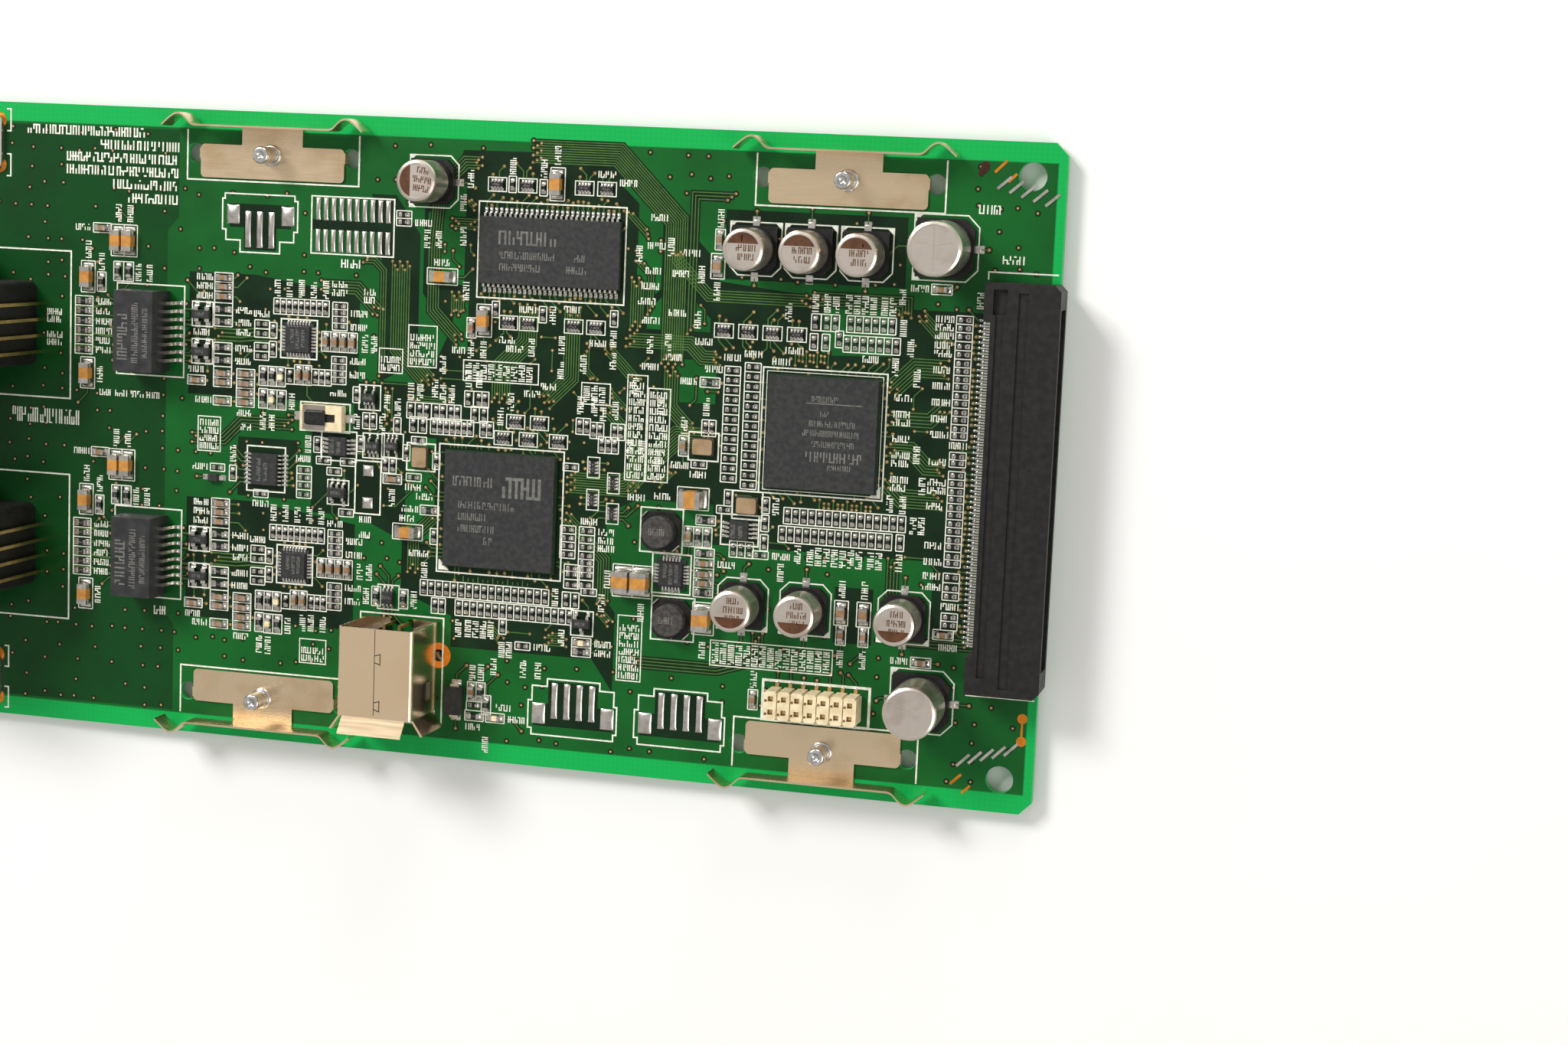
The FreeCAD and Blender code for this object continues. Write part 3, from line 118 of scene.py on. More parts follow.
# %% Paths, turns and circles
def sideways(path, shift, closed=False):
    """The path moved sideways by shift, with mitred corners."""
    points = [Vector(p) for p in path]
    moved = []
    for i, p in enumerate(points):
        before = points[i - 1] if i or closed else None
        after = points[(i + 1) % len(points)] if i + 1 < len(points) or closed else None
        come = (p - before).normalized() if before is not None else (after - p).normalized()
        go = (after - p).normalized() if after is not None else come
        across = Vector((-come.y - go.y, come.x + go.x)).normalized()
        moved.append(p + across * (shift / max(0.4, across.dot(Vector((-come.y, come.x))))))
    return moved


def turn(points, degrees, x, y):
    """Points turned about the origin, then moved to x, y."""
    c, s = math.cos(math.radians(degrees)), math.sin(math.radians(degrees))
    return [(x + u * c - v * s, y + u * s + v * c) for u, v in points]


def circle(x, y, r, n):
    """n points on a circle."""
    return [(x + r * math.cos(t), y + r * math.sin(t)) for t in (2 * math.pi * i / n for i in range(n))]


print("a circle of 12 has", len(circle(0, 0, 1, 12)), "points")

# %% Stencil: many thin plates in one mesh
HAIR, LEVELS = 0.0003, 23      # step in height between plates in mm, and how many steps there are


class Stencil:
    """Thin shapes in board millimetres, collected as one mesh."""

    def __init__(self):
        self.points, self.faces, self.plates = [], [], 0

    def lift(self, z0, z1):
        """The second height moved by a few hairs, so that two plates that cross never share a plane."""
        raised = z1 + math.copysign(HAIR * (self.plates % LEVELS), z1 - z0)
        self.plates += 1
        return raised

    def plate(self, outline, z0, z1):
        """A plate with side walls and one face, which looks down if z1 is the lower.
        The outline may run either way."""
        n, s = len(outline), len(self.points)
        if sum(a[0] * b[1] - b[0] * a[1] for a, b in zip(outline, outline[1:] + outline[:1])) < 0:
            outline = outline[::-1]
        z1 = self.lift(z0, z1)
        self.points += [(p[0], p[1], z) for z in (z0, z1) for p in outline]
        top = [s + n + i for i in range(n)]
        walls = [[s + i, s + (i + 1) % n, s + n + (i + 1) % n, s + n + i] for i in range(n)]
        self.faces += [f[::-1] if z1 < z0 else f for f in [top] + walls]

    def rectangle(self, x0, y0, x1, y1, z0, z1):
        self.plate([(x0, y0), (x1, y0), (x1, y1), (x0, y1)], z0, z1)

    def ribbon(self, right, left, z0, z1, closed):
        """A band between two edges with walls all round, which share their corners."""
        n, s = len(right), len(self.points)
        z1 = self.lift(z0, z1)
        for r, l in zip(right, left):
            self.points += [(r[0], r[1], z0), (r[0], r[1], z1), (l[0], l[1], z1), (l[0], l[1], z0)]
        faces = []
        for i in range(n if closed else n - 1):
            a, b = s + 4 * i, s + 4 * ((i + 1) % n)
            faces += [[a + 1, b + 1, b + 2, a + 2], [a, b, b + 1, a + 1], [b + 3, a + 3, a + 2, b + 2]]
        if not closed:
            e = s + 4 * (n - 1)
            faces += [[s + 3, s, s + 1, s + 2], [e, e + 3, e + 2, e + 1]]
        self.faces += [f[::-1] if z1 < z0 else f for f in faces]

    def line(self, path, width, z0, z1, closed=False):
        self.ribbon(sideways(path, -width / 2, closed), sideways(path, width / 2, closed), z0, z1, closed)

    def disc(self, x, y, r, z0, z1, n):
        self.plate(circle(x, y, r, n), z0, z1)

    def ring(self, x, y, r0, r1, z0, z1, n):
        self.ribbon(circle(x, y, r1, n), circle(x, y, r0, n), z0, z1, True)

    def grid(self, rows):
        """A curved sheet through rows of points."""
        s, w = len(self.points), len(rows[0])
        self.points += [tuple(p) for row in rows for p in row]
        for i in range(len(rows) - 1):
            for j in range(w - 1):
                a = s + i * w + j
                self.faces.append([a, a + 1, a + w + 1, a + w])

    def add_turned(self, other, degrees, x, y):
        """All of another stencil, turned about its origin and moved to a place."""
        start = len(self.points)
        flat = turn([p[:2] for p in other.points], degrees, x, y)
        self.points += [(u, v, p[2]) for (u, v), p in zip(flat, other.points)]
        self.faces += [[start + i for i in face] for face in other.faces]

    def make(self, name, material, slot, smooth=False):
        """The finished piece, which rides on the board."""
        mesh = bpy.data.meshes.new(name)
        mesh.from_pydata([place(*p) for p in self.points], [], self.faces)
        mesh.polygons.foreach_set("use_smooth", [smooth] * len(mesh.polygons))
        mesh.update()
        piece = bpy.data.objects.new(name, mesh)
        bpy.context.scene.collection.objects.link(piece)
        piece.data.materials.append(material)
        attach(piece, "board")
        print(name, len(self.faces), "faces")


print("plates in one mesh differ by up to", round(HAIR * (LEVELS - 1), 4), "mm in height")

# %% [markdown]
# ## Shader node groups
# Real surfaces are never one even colour. Each effect here is a node group that gives a colour, a roughness
# and a height that change over the surface, and each material places it with its own values. Only those
# three leave the group: the Principled shader stays in the material, where constants such as Metallic are
# set on its own sockets.

# %% Small helpers for wiring nodes
def add(tree, kind, inputs=None, **settings):
    """A node with its settings, its inputs wired if they are sockets and set if they are values."""
    node = tree.nodes.new("ShaderNode" + kind)
    for name, value in settings.items():
        setattr(node, name, value)
    for name, value in (inputs or {}).items():
        if isinstance(value, bpy.types.NodeSocket):
            tree.links.new(value, node.inputs[name])
        else:
            node.inputs[name].default_value = value
    return node


def calc(tree, operation, a, b=0.0, clamp=False):
    """The result of one sum."""
    return add(tree, "Math", {0: a, 1: b}, operation=operation, use_clamp=clamp).outputs[0]


def ramp(tree, value, low, high, start=0.0, end=1.0):
    """value between low and high becomes start to end, smoothly."""
    return add(tree, "MapRange", {"Value": value, "From Min": low, "From Max": high, "To Min": start,
                                  "To Max": end}, interpolation_type="SMOOTHSTEP").outputs[0]


def mix_colours(tree, factor, a, b):
    """Colour a at factor 0, colour b at factor 1."""
    return add(tree, "Mix", {0: factor, 6: a, 7: b}, data_type="RGBA").outputs[2]


def here(tree, stretch=(1, 1, 1)):
    """Object coordinates, stretched."""
    where = add(tree, "TexCoord").outputs["Object"]
    return add(tree, "Mapping", {"Vector": where, "Scale": stretch}).outputs[0]


def shader_group(name, inputs, wire):
    """A group that puts out Colour, Roughness and Height; wire(tree, inputs) returns those three sockets."""
    tree = bpy.data.node_groups.new(name, "ShaderNodeTree")
    for label, value in inputs.items():
        kind = "NodeSocketColor" if isinstance(value, tuple) else "NodeSocketFloat"
        tree.interface.new_socket(label, in_out="INPUT", socket_type=kind).default_value = value
    outputs = (("Colour", "NodeSocketColor"), ("Roughness", "NodeSocketFloat"), ("Height", "NodeSocketFloat"))
    for label, kind in outputs:
        tree.interface.new_socket(label, in_out="OUTPUT", socket_type=kind)
    made = wire(tree, tree.nodes.new("NodeGroupInput").outputs)
    leave = tree.nodes.new("NodeGroupOutput")
    for (label, kind), socket in zip(outputs, made):
        tree.links.new(socket, leave.inputs[label])
    return tree


COMMON = {"Colour": (0.5, 0.5, 0.5, 1), "Second colour": (0.4, 0.4, 0.4, 1), "Scale": 2000.0,
          "Roughness": 0.5, "Roughness spread": 0.1}
print("helpers ready")

# %% [markdown]
# ## Mottled surfaces
# Epoxy mouldings, ceramics, solder and mask all vary in soft patches with a fine speckle over them. Two
# noises at different scales give both: the coarse one tints the colour, the fine one makes the height for
# the bump.

# %% Mottled group
def wire_mottled(tree, inputs):
    coarse = add(tree, "TexNoise", {"Vector": here(tree), "Scale": inputs["Scale"], "Detail": 5.0}).outputs[0]
    fine_scale = calc(tree, "MULTIPLY", inputs["Scale"], 7.0)
    fine = add(tree, "TexNoise", {"Vector": here(tree), "Scale": fine_scale, "Detail": 3.0}).outputs[0]
    patches = ramp(tree, coarse, 0.35, 0.68)
    colour = mix_colours(tree, patches, inputs["Colour"], inputs["Second colour"])
    off_middle = calc(tree, "SUBTRACT", coarse, 0.5)
    spread = calc(tree, "MULTIPLY", off_middle, calc(tree, "MULTIPLY", inputs["Roughness spread"], 4.0))
    return colour, calc(tree, "ADD", inputs["Roughness"], spread, clamp=True), calc(tree, "ADD", coarse, fine)


MOTTLED = shader_group("mottled", COMMON, wire_mottled)
print(MOTTLED.name, "group made")

# %% [markdown]
# ## Rolled and brushed metal
# Sheet metal and drawn cans keep fine lines from the rolls or the brush. Squeezing the noise along one
# direction draws them out into long streaks, and a second soft noise adds stains.

# %% Brushed group
def wire_brushed(tree, inputs):
    drawn_out = here(tree, (1, 22, 6))
    lines = add(tree, "TexNoise", {"Vector": drawn_out, "Scale": inputs["Scale"], "Detail": 4.0}).outputs[0]
    stain_scale = calc(tree, "MULTIPLY", inputs["Scale"], 0.55)
    stain = add(tree, "TexNoise", {"Vector": here(tree), "Scale": stain_scale, "Detail": 6.0}).outputs[0]
    patches = ramp(tree, stain, 0.42, 0.72)
    shade = calc(tree, "ADD", calc(tree, "MULTIPLY", patches, 0.75), calc(tree, "MULTIPLY", lines, 0.35),
                 clamp=True)
    colour = mix_colours(tree, shade, inputs["Colour"], inputs["Second colour"])
    off_middle = calc(tree, "SUBTRACT", lines, 0.5)
    spread = calc(tree, "MULTIPLY", off_middle, calc(tree, "MULTIPLY", inputs["Roughness spread"], 3.0))
    return colour, calc(tree, "ADD", inputs["Roughness"], spread, clamp=True), lines


BRUSHED = shader_group("brushed", COMMON, wire_brushed)
print(BRUSHED.name, "group made")

# %% [markdown]
# ## The board's own surface
# The laminate is glass cloth in resin under a green mask. Light comes through it where no copper lies
# inside, along the edges, so the margin is brighter than the middle. It is narrower at the end that holds
# the card connector. The weave shows faintly as crossed waves, and the cut edge is paler than the faces.

# %% Laminate group
MARGIN, END_SAVING, MARGIN_BLUR = 2.9, 1.6, 0.15
CENTRE_Y = CORNER.y + BOARD_W * MM / 2
WEAVE_SCALE, WEAVE_WOBBLE, WEAVE_SHOWS = 400.0, 1.5, 0.15


def wire_laminate(tree, inputs):
    where = add(tree, "TexCoord")
    x, y, z = add(tree, "SeparateXYZ", {0: where.outputs["Object"]}).outputs
    off_middle = calc(tree, "ABSOLUTE", calc(tree, "SUBTRACT", y, CENTRE_Y))
    edge_y = calc(tree, "SUBTRACT", BOARD_W * MM / 2, off_middle)
    edge_x = calc(tree, "SUBTRACT", CORNER.x, x)
    near = calc(tree, "MINIMUM", edge_y, calc(tree, "ADD", edge_x, END_SAVING * MM))
    margin = ramp(tree, near, (MARGIN - MARGIN_BLUR) * MM, (MARGIN + MARGIN_BLUR) * MM, 1.0, 0.0)
    cloud = {"Vector": here(tree), "Scale": inputs["Scale"], "Detail": 4.0}
    patches = add(tree, "TexNoise", cloud).outputs[0]
    threads = [add(tree, "TexWave", {"Vector": here(tree), "Scale": WEAVE_SCALE, "Distortion": WEAVE_WOBBLE},
                   bands_direction=axis).outputs["Fac"] for axis in "XY"]
    weave = calc(tree, "MULTIPLY", *threads)
    pour = mix_colours(tree, ramp(tree, patches, 0.3, 0.75), inputs["Colour"], inputs["Second colour"])
    thread_light = calc(tree, "MULTIPLY", weave, WEAVE_SHOWS)
    lit = mix_colours(tree, thread_light, inputs["Margin colour"], inputs["Edge colour"])
    face = mix_colours(tree, margin, pour, lit)
    upward = calc(tree, "ABSOLUTE", add(tree, "SeparateXYZ", {0: where.outputs["Normal"]}).outputs[2])
    colour = mix_colours(tree, ramp(tree, upward, 0.3, 0.7, 1.0, 0.0), face, inputs["Edge colour"])
    spread = calc(tree, "MULTIPLY", patches, inputs["Roughness spread"])
    rough = calc(tree, "ADD", inputs["Roughness"], spread, clamp=True)
    return colour, rough, calc(tree, "ADD", calc(tree, "MULTIPLY", weave, 0.5), patches)


EDGES = {"Margin colour": (0.1, 0.5, 0.2, 1), "Edge colour": (0.3, 0.6, 0.25, 1)}
LAMINATE = shader_group("laminate", {**COMMON, **EDGES}, wire_laminate)
print(LAMINATE.name, "group made")

# %% [markdown]
# ## Materials
# One function turns a group and a handful of values into a material. The table below it lists each finish
# in plain values: main colour, second colour, patch scale, roughness, metallic and bump.

# %% Material maker
def finish(name, group, values, metallic=0.0, bump=0.0, specular=0.5):
    """A Principled material driven by one of the groups."""
    made = bpy.data.materials.new(name)
    made.use_nodes = True
    tree = made.node_tree
    tree.nodes.clear()
    effect = tree.nodes.new("ShaderNodeGroup")
    effect.node_tree = group
    for label, value in values.items():
        effect.inputs[label].default_value = value
    raised = add(tree, "Bump", {"Strength": bump, "Distance": 0.05 * MM, "Height": effect.outputs["Height"]})
    shader = add(tree, "BsdfPrincipled", {
        "Base Color": effect.outputs["Colour"], "Roughness": effect.outputs["Roughness"],
        "Normal": raised.outputs[0], "Metallic": metallic, "Specular IOR Level": specular})
    out = add(tree, "OutputMaterial")
    tree.links.new(shader.outputs[0], out.inputs[0])
    return made


def shades(first, second, scale, rough, spread=0.06):
    """The values of a group's inputs."""
    return {"Colour": (*first, 1), "Second colour": (*second, 1), "Scale": scale, "Roughness": rough,
            "Roughness spread": spread}


print("material maker ready")

# %% Finishes of the CAD nodes
# slot: group, main colour, second colour, patch scale, roughness, metallic, bump
FINISHES = {
    # spring_metal: the warm brown tone is partly the alloy's own colour and partly painted reflection of warm
    # surroundings
    "spring_metal": (BRUSHED, (0.86, 0.68, 0.46), (0.66, 0.47, 0.27), 260, 0.27, 1.0, 0.08),
    "rivet_metal": (MOTTLED, (0.72, 0.71, 0.69), (0.50, 0.49, 0.47), 900, 0.22, 1.0, 0.12),
    "black_moulding": (MOTTLED, (0.006, 0.005, 0.005), (0.012, 0.010, 0.009), 900, 0.50, 0.0, 0.30),
    "black_gloss_moulding": (MOTTLED, (0.008, 0.008, 0.009), (0.016, 0.016, 0.017), 700, 0.30, 0.0, 0.10),
    "chip_moulding": (MOTTLED, (0.017, 0.018, 0.018), (0.030, 0.030, 0.029), 1400, 0.55, 0.0, 0.40),
    "transformer_moulding": (MOTTLED, (0.020, 0.020, 0.021), (0.032, 0.032, 0.032), 500, 0.40, 0.0, 0.20),
    "tinned_lead": (MOTTLED, (0.74, 0.71, 0.66), (0.52, 0.50, 0.46), 1200, 0.30, 1.0, 0.10),
    "bright_solder": (MOTTLED, (0.70, 0.66, 0.60), (0.46, 0.43, 0.39), 700, 0.26, 1.0, 0.10),
    "contact_gold": (BRUSHED, (0.72, 0.50, 0.20), (0.56, 0.38, 0.15), 1200, 0.28, 1.0, 0.10),
    # nickel_shell: the warm gold tint of both colours is painted reflection of warm surroundings; plain
    # nickel is near neutral
    "nickel_shell": (BRUSHED, (0.98, 0.77, 0.52), (0.90, 0.64, 0.38), 120, 0.20, 1.0, 0.04),
    # can_aluminium: the warm tint is painted reflection of warm surroundings; the aluminium itself is near
    # neutral grey
    "can_aluminium": (BRUSHED, (0.78, 0.70, 0.62), (0.58, 0.49, 0.42), 500, 0.30, 1.0, 0.12),
    "carrier_laminate": (MOTTLED, (0.012, 0.035, 0.015), (0.020, 0.050, 0.020), 900, 0.40, 0.0, 0.20),
    "cream_moulding": (MOTTLED, (0.76, 0.64, 0.42), (0.62, 0.50, 0.30), 700, 0.42, 0.0, 0.20),
    "cover_steel": (BRUSHED, (0.50, 0.45, 0.39), (0.34, 0.30, 0.26), 900, 0.30, 1.0, 0.12),
    "button_moulding": (MOTTLED, (0.010, 0.010, 0.010), (0.018, 0.018, 0.018), 900, 0.26, 0.0, 0.12),
    "ferrite": (MOTTLED, (0.030, 0.028, 0.026), (0.062, 0.056, 0.050), 1600, 0.46, 0.0, 0.50),
    "oscillator_lid": (BRUSHED, (0.70, 0.50, 0.30), (0.50, 0.34, 0.19), 900, 0.34, 1.0, 0.12),
    "ceramic_black": (MOTTLED, (0.045, 0.036, 0.026), (0.07, 0.055, 0.04), 1500, 0.50, 0.0, 0.30),
    "resistor_body": (MOTTLED, (0.010, 0.010, 0.011), (0.020, 0.020, 0.021), 2500, 0.30, 0.0, 0.15),
    "capacitor_ceramic": (MOTTLED, (0.30, 0.18, 0.095), (0.22, 0.12, 0.06), 1500, 0.46, 0.0, 0.20),
    "capacitor_ceramic_orange": (MOTTLED, (0.52, 0.24, 0.05), (0.38, 0.17, 0.04), 900, 0.38, 0.0, 0.15),
    "indicator_resin": (MOTTLED, (0.82, 0.70, 0.46), (0.66, 0.52, 0.28), 1500, 0.20, 0.0, 0.10),
    "terminal_steel": (BRUSHED, (0.70, 0.66, 0.60), (0.50, 0.46, 0.41), 300, 0.30, 1.0, 0.12),
}
PART_SPECULAR, LAYER_SPECULAR = 0.32, 0.18
looks = {slot: finish(slot, group, shades(a, b, scale, rough), metal, bump, PART_SPECULAR)
         for slot, (group, a, b, scale, rough, metal, bump) in FINISHES.items()}
looks["board_mask"] = finish(
    "board_mask", LAMINATE,
    {**shades((0.0045, 0.100, 0.015), (0.0035, 0.068, 0.010), 90, 0.32, 0.10),
     "Margin colour": (0.003, 0.330, 0.062, 1), "Edge colour": (0.030, 0.430, 0.110, 1)},
    bump=0.06, specular=LAYER_SPECULAR)
for part in frame["record"]["subparts"]:
    piece = nodes[part["node"]]
    piece.data.materials.clear()
    piece.data.materials.append(looks[part["material_slot"]])
print("finished nodes", len(nodes))

# %% [markdown]
# ## Inks and copper for the printed layers
# The thin layers need finishes of their own: the mask over copper is lighter than the mask over bare
# laminate, the print is a warm white that is never quite even, and lands without mask are orange copper or
# bright tin.

# %% Layer finishes
# name: main colour, second colour, patch scale, roughness, metallic
LAYERS = {
    "mask_over_copper": ((0.066, 0.145, 0.034), (0.044, 0.108, 0.024), 900, 0.32, 0.0),
    "mask_over_laminate": ((0.0030, 0.013, 0.004), (0.0040, 0.020, 0.006), 220, 0.34, 0.0),
    "mask_over_pour": ((0.0045, 0.100, 0.015), (0.0035, 0.070, 0.010), 160, 0.32, 0.0),
    # the jack end's mask: painted shade, darker than the pour to stand in for the shadow at that end
    "jack_end_painted_shade": ((0.0035, 0.050, 0.0085), (0.0030, 0.038, 0.0065), 120, 0.32, 0.0),
    "print_white": ((0.78, 0.78, 0.68), (0.60, 0.61, 0.50), 1200, 0.55, 0.0),
    "via_copper": ((0.36, 0.20, 0.06), (0.24, 0.14, 0.04), 2000, 0.30, 0.6),
    "via_fill": ((0.50, 0.46, 0.30), (0.36, 0.33, 0.22), 2000, 0.40, 0.0),
    "bare_copper": ((0.80, 0.27, 0.03), (0.60, 0.19, 0.02), 700, 0.28, 0.7),
    "laser_mark": ((0.16, 0.155, 0.14), (0.10, 0.097, 0.09), 1500, 0.60, 0.0),
    "can_ink": ((0.105, 0.045, 0.022), (0.07, 0.03, 0.015), 900, 0.45, 0.0),
    "marker_ink": ((0.045, 0.018, 0.010), (0.03, 0.012, 0.008), 600, 0.35, 0.0),
}
inks = {name: finish(name, MOTTLED, shades(a, b, scale, rough), metal, 0.1, LAYER_SPECULAR)
        for name, (a, b, scale, rough, metal) in LAYERS.items()}
print("layer finishes", len(inks))

# %% [markdown]
# ## The two-ended chips
# Each chip has a body between two metal ends. An end is thinner along the chip than across it, so its box
# gives the chip's direction, and the nearest body tells which way is out. From that come the solder fillet,
# the land under it and the printed box round the pair.

# %% Chip ends, their bodies and directions
CHIP_KINDS = [("chip_resistor_ends", "chip_resistors"), ("chip_capacitor_ends", "chip_capacitors"),
              ("power_capacitor_ends", "power_capacitors"), ("indicator_ends", "indicator_lenses")]


def outer_face(row, along_x, from_x, from_y):
    """The middle of the side that looks away from a place, the way it looks, and its width."""
    cx, cy = middle(row)
    if along_x:
        way = (math.copysign(1, cx - from_x), 0)
        return (row[3] if way[0] > 0 else row[0], cy), way, row[4] - row[1]
    way = (0, math.copysign(1, cy - from_y))
    return (cx, row[4] if way[1] > 0 else row[1]), way, row[3] - row[0]


ends, chips = [], []
for end_node, body_node in CHIP_KINDS:
    bodies = solid_boxes(body_node)
    centres = np.array([middle(b) for b in bodies])
    reach = {i: [] for i in range(len(bodies))}
    for row in solid_boxes(end_node):
        cx, cy = middle(row)
        k = int(np.argmin(((centres - (cx, cy)) ** 2).sum(1)))
        along_x = row[3] - row[0] < row[4] - row[1]
        ends.append((*outer_face(row, along_x, *centres[k]), row[5]))
        reach[k].append(row)
    for k, pair in reach.items():
        x0, y0 = min(r[0] for r in pair), min(r[1] for r in pair)
        x1, y1 = max(r[3] for r in pair), max(r[4] for r in pair)
        chips.append({"box": (x0, y0, x1, y1), "along_x": x1 - x0 > y1 - y0})
print("chip ends", len(ends), "chips", len(chips))

# %% Solder fillets and lands
solder, lands = Stencil(), Stencil()
LAND_Z = 0.03
FILLET = ((0.0, 0.82), (0.22, 0.42), (0.52, 0.18), (1.0, 0.02))      # share of reach, share of height
FILLET_SIDES = ((-1.0, 0.3, 0.7), (-0.7, 0.85, 0.95), (0.0, 1.0, 1.0), (0.7, 0.85, 0.95), (1.0, 0.3, 0.7))
FLARE, SINK, THINNEST = 0.10, 0.01, 0.03      # widening at the foot, overlap with the face, least height


def fillet(face, way, width, height, reach):
    """A concave solder wedge that climbs a vertical face."""
    across = (-way[1], way[0])
    rows = []
    for out, up in FILLET:
        row = []
        for side, drop, pull in FILLET_SIDES:
            spread = side * (width / 2 + FLARE * out)
            d = out * reach * pull - SINK
            row.append((face[0] + way[0] * d + across[0] * spread, face[1] + way[1] * d + across[1] * spread,
                        max(THINNEST, up * height * drop)))
        rows.append(row)
    solder.grid(rows)


def land(face, way, width, inward, outward, spread=0.08):
    """The flat tinned land under an end."""
    across = (-way[1], way[0])
    corners = [(-inward, -1), (outward, -1), (outward, 1), (-inward, 1)]
    half = width / 2 + spread
    lands.plate([(face[0] + way[0] * d + across[0] * s * half, face[1] + way[1] * d + across[1] * s * half)
                 for d, s in corners], 0.0, LAND_Z)


for face, way, width, height in ends:
    reach = 0.34 if width < 0.6 else 0.5
    fillet(face, way, width, min(height, 0.9), reach)
    land(face, way, width, 0.1, reach + 0.08)
print("fillets", len(solder.faces))

# %% Lands of the leaded parts
# node: the node it belongs to, and how far its solder reaches
LEADS = {"memory_chip_leads": ("memory_chip", 0.35), "buffer_chips_leads": ("buffer_chips", 0.3),
         "regulators_leads": ("regulators", 0.35), "clamp_diodes_leads": ("clamp_diodes", 0.4),
         "transformers_leads": ("transformers", 0.5),
         "card_connector_contacts": ("card_connector_housing", 0.3),
         "power_diode_leads": ("power_diodes", 0.5), "capacitor_leads": ("capacitor_plinths", 0.5),
         "resistor_array_ends": ("resistor_arrays", 0.42), "switch_contacts": ("switch_housing", 0.5),
         "flat_chip_lands": ("flat_chips", 0.25), "header_contacts": ("header_socket", 0.4)}
LIFTED = 0.05      # a strip whose lowest point is above this isn't soldered to the board
feet = []
for node, (owner, reach) in LEADS.items():
    owners = solid_boxes(owner)
    for row in solid_boxes(node):
        if row[2] > LIFTED:
            continue
        cx, cy = middle(row)
        near = min(owners, key=lambda b: math.dist(middle(b), (cx, cy)))
        ox, oy = middle(near)
        over_x = abs(cx - ox) - (near[3] - near[0]) / 2
        over_y = abs(cy - oy) - (near[4] - near[1]) / 2
        face, way, width = outer_face(row, over_x > over_y, ox, oy)
        climb = min(0.35, max(0.12, row[5] * 0.5))
        fillet(face, way, width, climb, reach)
        land(face, way, width, 0.6, reach + 0.1, 0.05)
        feet.append((face, way, width))
print("leads soldered", len(feet))

# %% [markdown]
# ## What is already taken
# Tracks, vias and printed names must keep off each other. Two coarse grids remember what is taken: one for
# the copper, one for the print. A shape asks whether its cells are free before it is drawn.

# %% Grids of taken ground
class Ground:
    """A grid over the board that remembers which cells are taken."""

    def __init__(self, cell):
        self.cell = cell
        self.taken = np.zeros((int(BOARD_L / cell) + 1, int(BOARD_W / cell) + 1), dtype=bool)

    def span(self, x0, y0, x1, y1):
        limit_x, limit_y = self.taken.shape
        i0, i1 = int((x0 + BOARD_L) / self.cell), int((x1 + BOARD_L) / self.cell) + 1
        j0, j1 = int(y0 / self.cell), int(y1 / self.cell) + 1
        inside = i0 >= 0 and j0 >= 0 and i1 < limit_x and j1 < limit_y
        return inside, slice(max(i0, 0), i1), slice(max(j0, 0), j1)

    def free(self, x0, y0, x1, y1):
        inside, i, j = self.span(x0, y0, x1, y1)
        return inside and not self.taken[i, j].any()

    def take(self, x0, y0, x1, y1):
        _, i, j = self.span(x0, y0, x1, y1)
        self.taken[i, j] = True

    def free_round(self, x, y, half):
        return self.free(x - half, y - half, x + half, y + half)

    def take_round(self, x, y, half):
        self.take(x - half, y - half, x + half, y + half)


CELL, HOLE_INSET, HOLE_CLEAR = 0.1, 4.9, 3.2
copper_ground, print_ground = Ground(CELL), Ground(CELL)
COVERED = ("circuit_board", "processor_substrate", "logic_chip_substrate", "switch_button", "usb_insulator",
           "usb_contacts", "power_capacitors", "chip_capacitors", "capacitor_small_cans",
           "capacitor_large_cans")
for node in (n for n in nodes if n not in COVERED):
    for x0, y0, z0, x1, y1, z1 in solid_boxes(node):
        print_ground.take(x0 - 0.1, y0 - 0.1, x1 + 0.1, y1 + 0.1)
for face, way, width, height in ends:
    x, y = face[0] + way[0] * 0.1, face[1] + way[1] * 0.1
    half = width / 2 + 0.1
    for ground in (copper_ground, print_ground):
        ground.take_round(x, y, half)
for face, way, width in feet:
    copper_ground.take_round(*face, width * 0.7)
for x0, y0, z0, x1, y1, z1 in solid_boxes("solder_pads"):
    copper_ground.take(x0 - 0.2, y0 - 0.2, x1 + 0.2, y1 + 0.2)
for y in (HOLE_INSET, BOARD_W - HOLE_INSET):
    hole = (-HOLE_INSET - HOLE_CLEAR, y - HOLE_CLEAR, -HOLE_INSET + HOLE_CLEAR, y + HOLE_CLEAR)
    copper_ground.take(*hole)
    print_ground.take(*hole)
for node in (n for n in nodes if n.startswith("spring_") and n != "spring_rivets"):
    ((x0, y0, z0, x1, y1, z1),) = solid_boxes(node)
    copper_ground.take(x0, y0, x1, y1)
print("taken for copper", int(copper_ground.taken.sum()), "for print", int(print_ground.taken.sum()), "cells")

# %% [markdown]
# ## White print
# The print gives every part its outline. Chips in a row share the line between them, so the line goes
# halfway to the next chip when there is one. The larger outlines are listed one by one, as on the maker's
# drawing.

# %% Printed boxes round the chips
INK_Z0, INK_Z1, INK_W = 0.0, 0.056, 0.16
print_lines = Stencil()
drawn = set()


def print_path(path, width=INK_W, closed=False):
    """A printed line; the ground under its straight parts is taken."""
    print_lines.line(path, width, INK_Z0, INK_Z1, closed)
    half = width / 2 + 0.05
    pairs = zip(path, path[1:] + path[:1] if closed else path[1:])
    for (xa, ya), (xb, yb) in pairs:
        if abs(xa - xb) < 0.01 or abs(ya - yb) < 0.01:
            print_ground.take(min(xa, xb) - half, min(ya, yb) - half, max(xa, xb) + half, max(ya, yb) + half)


def print_once(a, b):
    """A printed line between two points, unless it is there already."""
    key = tuple(round(v, 1) for v in (*min(a, b), *max(a, b)))
    if key not in drawn:
        drawn.add(key)
        print_path([a, b])


